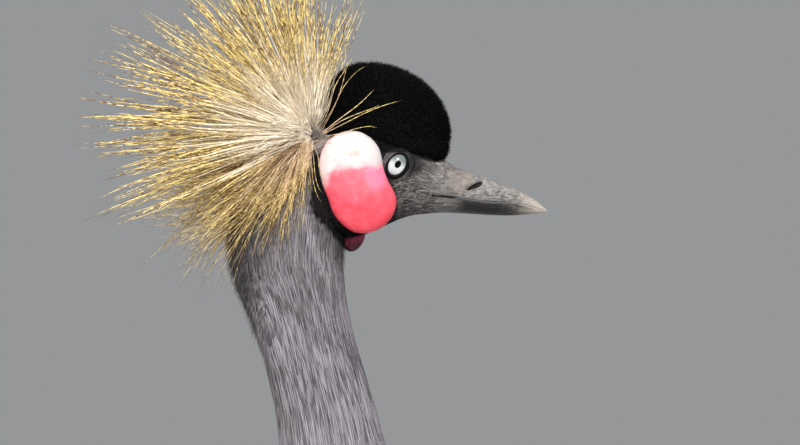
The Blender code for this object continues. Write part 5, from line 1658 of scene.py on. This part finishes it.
def make_tail():
    """start + down the slope * length * share + side * u * width - tent * |u|, u from -1 to 1."""
    c, s = ring(TAIL_SLOPE)
    along, left, up = np.array([-c, 0, -s]), np.array([0, 1, 0]), np.array([-s, 0, c])
    u = np.linspace(-1, 1, TAIL_FEATHERS)[:, None]
    share = 0.06 + 0.94 * RECTRIX[:, 0][None]
    reach = TAIL_LENGTH * (1 - 0.07 * np.abs(u)) * share
    aside = u * (8 + 14 * share)
    drop = 10 * np.abs(u) + np.where(u > 0, 1.1, 0) + 3 * share ** 2
    points = (TAIL_START + along * reach[..., None] + left * aside[..., None]
              - up * drop[..., None])
    normals = np.broadcast_to(up, points.shape) + left * 0.3 * u[..., None]
    widths = np.full((TAIL_FEATHERS, 1), TAIL_WIDE) * RECTRIX[:-1, 1]
    vanes = vanes_of(points, unit(normals), widths, 0.1, 95)
    shares = np.linspace(-0.03, 0.3, 24)
    wide, thick = (np.interp(shares, TAIL_CORE[:, 0], TAIL_CORE[:, k]) for k in (1, 2))
    c, s = ring(np.arange(32) * 360 / 32, 2.2)
    core = (TAIL_START + (along * shares[:, None] * TAIL_LENGTH)[:, None] - up * 6
            + up * (thick[:, None] * c)[..., None] + left * (wide[:, None] * s)[..., None])
    return piece("tail_feathers", joined(lofted(core), vanes), BLACK, ("tail",),
                 SHARP)


make_tail()

# %% [markdown]
# ## Legs and feet
# The legs are bare and scaly. The front of the tarsus carries broad plates, each one's lower edge
# proud of the next, so a saw-tooth is added to the radius on the front half only. Everything else
# is covered by small round scales, which are too fine for the mesh and are left to bump.

# %% Legs
# x, y, z, radius, on the left
SHANK = np.array([(48, 47, 322, 7.6), (43, 47, 285, 6.4), (38, 47, 250, 7.2), (36, 47, 236, 9.2)])
TARSUS = np.array([
    (36, 47, 236, 9), (37, 47, 222, 8.6), (40, 47.5, 200, 6.4), (47, 48.5, 130, 5.8),
    (55, 50, 50, 6), (58, 50.5, 26, 7.2)])
FOOT = np.array([(58, 50.5, 26.5, 7.2), (58, 50.5, 18, 7.8), (58, 50.5, 8, 10), (58, 50.5, 0, 11)])
PLATES_TOP, PLATES_FOOT = 200.0, 50.0  # z of the highest and the lowest of the broad plates
ANKLE = np.array([58.0, 50.5, 0.0])  # where the toes meet, on the floor
# heading outwards from straight ahead, length, half width, claw length
TOES = {"inner": (-30, 66, 5.2, 13), "middle": (4, 86, 5.6, 15), "outer": (38, 72, 5.2, 13),
        "hind": (172, 34, 4.6, 13)}
# share of the toe, and the factors of its half width for width and height
TOE_ROWS = np.array([(0, 1.15, 1.8), (0.22, 1, 1.5), (0.42, 1.05, 1.5), (0.6, 0.85, 1.25),
                     (0.8, 0.95, 1.25), (1, 0.62, 0.9)])


def leg_finish():
    """Black scales with a grey bloom on their edges."""
    finish = Finish("leg_black_scales")
    spot = finish.place()
    scale = finish.cells(spot, 0.42)
    soft = finish.noise(spot, 0.25, 3.0)
    colour = finish.mix(scale.over(0.05, 0.35), (0.055, 0.052, 0.05), (0.017, 0.017, 0.018))
    colour = finish.mix(soft * 0.5, colour, (0.05, 0.05, 0.053))
    return finish.end(colour, 0.42 + soft * 0.2, scale.over(0.0, 0.3), 0.6, 0.5)


def plated(table, side, rows, sides, plates=0):
    """A limb whose radius gains 0.85 * (share of the plate passed)^1.5 on its front half."""
    surface = limb(table, side)
    row, turn = grid(0, len(table) - 1, rows, sides)
    points = surface(row, turn)
    passed = (PLATES_TOP - points[..., 2]) / (PLATES_TOP - PLATES_FOOT) * plates
    front = np.clip(ring(turn)[0], 0, 1) ** 0.5
    tooth = np.where((passed > 0) & (passed < plates), passed % 1, 0) ** 1.5
    return lofted(points + outward(surface, row, turn) * (0.85 * tooth * front)[..., None])


def toe_axes(side, turn):
    """Where the toes of a foot meet, and the ways along and across a toe turned out by degrees."""
    c, s = ring(turn * side)
    return ANKLE * (1, side, 1), np.array([c, s, 0]), np.array([-s, c, 0])


def toe(side, turn, length, width):
    """Half an ellipse over a flat sole: across * w cos a + up * h sin(a)^0.8, rippled by scutes."""
    base, along, across = toe_axes(side, turn)
    rows = at_row(TOE_ROWS, np.linspace(0, 5, 110))
    ends = np.interp(rows[:, 0], (0.93, 1.0), (1, 0.72))
    c, s = ring(np.linspace(0, 180, 25))
    sole = np.linspace(-1, 1, 9)[1:-1]
    wide = np.concatenate([c, sole])
    high = np.concatenate([np.maximum(s, 0) ** 0.8, np.zeros(len(sole))])
    ripple = 0.28 * np.abs(np.sin(np.pi * rows[:, 0] * length / 3.1)) ** 0.6
    h = rows[:, 2] * width * ends - 0.2 + ripple
    w = rows[:, 1] * width * ends
    points = (base + (along * (rows[:, 0] * length)[:, None])[:, None]
              + across * (w[:, None] * wide)[..., None]
              + np.array([0, 0, 1]) * (h[:, None] * high)[..., None])
    return lofted(points)


def claw(side, turn, length, reach):
    """A horn cone, arched along and flattened at the sides, from the toe's end to a blunt point."""
    base, along, across = toe_axes(side, turn)
    share = np.linspace(-0.12, 1, 40)
    radius = np.interp(share, (-0.12, 0, 0.4, 0.75, 0.95, 1), (2.5, 2.6, 2.1, 1.3, 0.55, 0.3))
    lift = np.interp(share, (-0.12, 0, 0.4, 0.75, 1), (3.1, 3.2, 3.5, 2.6, 0.9))
    c, s = ring(np.arange(24) * 15)
    points = (base + along * length + (along * (share * reach)[:, None])[:, None]
              + across * (radius[:, None] * 0.85 * c)[..., None]
              + np.array([0, 0, 1]) * (lift[:, None] + radius[:, None] * s)[..., None])
    return lofted(points)


def claw_finish():
    """Dark horn, paler and worn towards the point."""
    finish = Finish("claw_dark_horn")
    spot = finish.place()
    soft = finish.noise(spot, 0.8, 4.0, 0.6, 0.5)
    colour = finish.mix(soft, (0.008, 0.0075, 0.007), (0.06, 0.055, 0.048))
    return finish.end(colour, 0.3 + soft * 0.2, soft, 0.3, 0.2)


SCALES, CLAW_HORN = leg_finish(), claw_finish()
for word, side in SIDES:
    toes = [toe(side, *row[:3]) for row in TOES.values()]
    claws = [claw(side, turn, length, reach) for turn, length, _, reach in TOES.values()]
    for name, shape, node in (("shank_scales_", plated(SHANK, side, 80, 40), "shank_"),
                              ("tarsus_plates_", plated(TARSUS, side, 320, 40, 18), "tarsus_"),
                              ("toes_", joined(plated(FOOT, side, 40, 40), *toes), "foot_")):
        piece(name + word, shape, SCALES, (node + word,))
    piece("claws_" + word, joined(*claws), CLAW_HORN,
          [f"claw_{which}_{word}" for which in TOES])

# %% [markdown]
# ## Studio
# A pale floor, a pale room and three soft lamps: a key from the front and above, a weak fill from
# behind the head and a rim from the far side. The camera stands level with the head, three and a
# half metres away behind a long lens, which keeps the bird's proportions as they are.

# %% Floor, room, lamps and camera
FLOOR = 18  # metres from the bird to the floor's edge
LAMP_AIM = Vector((0.2, 0.0, 0.85))


def floor_piece():
    """A pale, faintly uneven floor, paler far away, where it meets the room."""
    finish = Finish("studio_floor")
    spot = finish.place()
    soft = finish.noise(spot, 0.002, 3.0)
    colour = finish.mix(soft, (0.56, 0.56, 0.55), (0.64, 0.64, 0.63))
    colour = finish.mix(spot.math("LENGTH").over(2500, 12000), colour, (0.97, 0.97, 0.97))
    material = finish.end(colour, 0.85, finish.noise(spot, 0.05, 2.0), 0.05, 0.5)
    mesh = bpy.data.meshes.new("floor")
    corners = [(x * FLOOR, y * FLOOR, 0) for x, y in ((-1, -1), (1, -1), (1, 1), (-1, 1))]
    mesh.from_pydata(corners, [], [(0, 1, 2, 3)])
    mesh.materials.append(material)
    linked("floor", mesh)


def lamp(name, at, power, size, colour=(1, 1, 1)):
    """A square lamp at a place, turned to the bird's head."""
    light = bpy.data.lights.new(name, "AREA")
    light.energy, light.size, light.color = power, size, colour
    made = linked(name, light)
    made.location = at
    aim = LAMP_AIM - made.location
    made.rotation_euler = aim.to_track_quat("-Z", "Y").to_euler()


floor_piece()
lamp("key", (0.1, -2.7, 3.0), 215, 0.8, (1.0, 0.98, 0.95))
lamp("fill", (-2.2, -2.6, 1.6), 8, 2.0)
lamp("rim", (-0.9, 2.4, 2.6), 42, 1.8)
room = bpy.data.worlds.new("room")
room.use_nodes = True
sky = room.node_tree.nodes["Background"].inputs
sky["Color"].default_value, sky["Strength"].default_value = (0.84, 0.86, 0.88, 1), 0.36
bpy.context.scene.world = room
bpy.context.scene.view_settings.view_transform = "Standard"

VIEW_WIDE, VIEW_AWAY, FILM = 0.424, 3.5, 36.0  # metres seen across, metres away, film in mm
lens = bpy.data.cameras.new("camera")
lens.sensor_width = FILM
lens.lens = FILM * VIEW_AWAY / VIEW_WIDE
lens.clip_end = 60
camera = linked("camera", lens)
camera.location = (0.231, -VIEW_AWAY, 0.9245)
camera.rotation_euler = (np.pi / 2, 0, 0)
bpy.context.scene.camera = camera
print("lens", round(lens.lens), "mm")
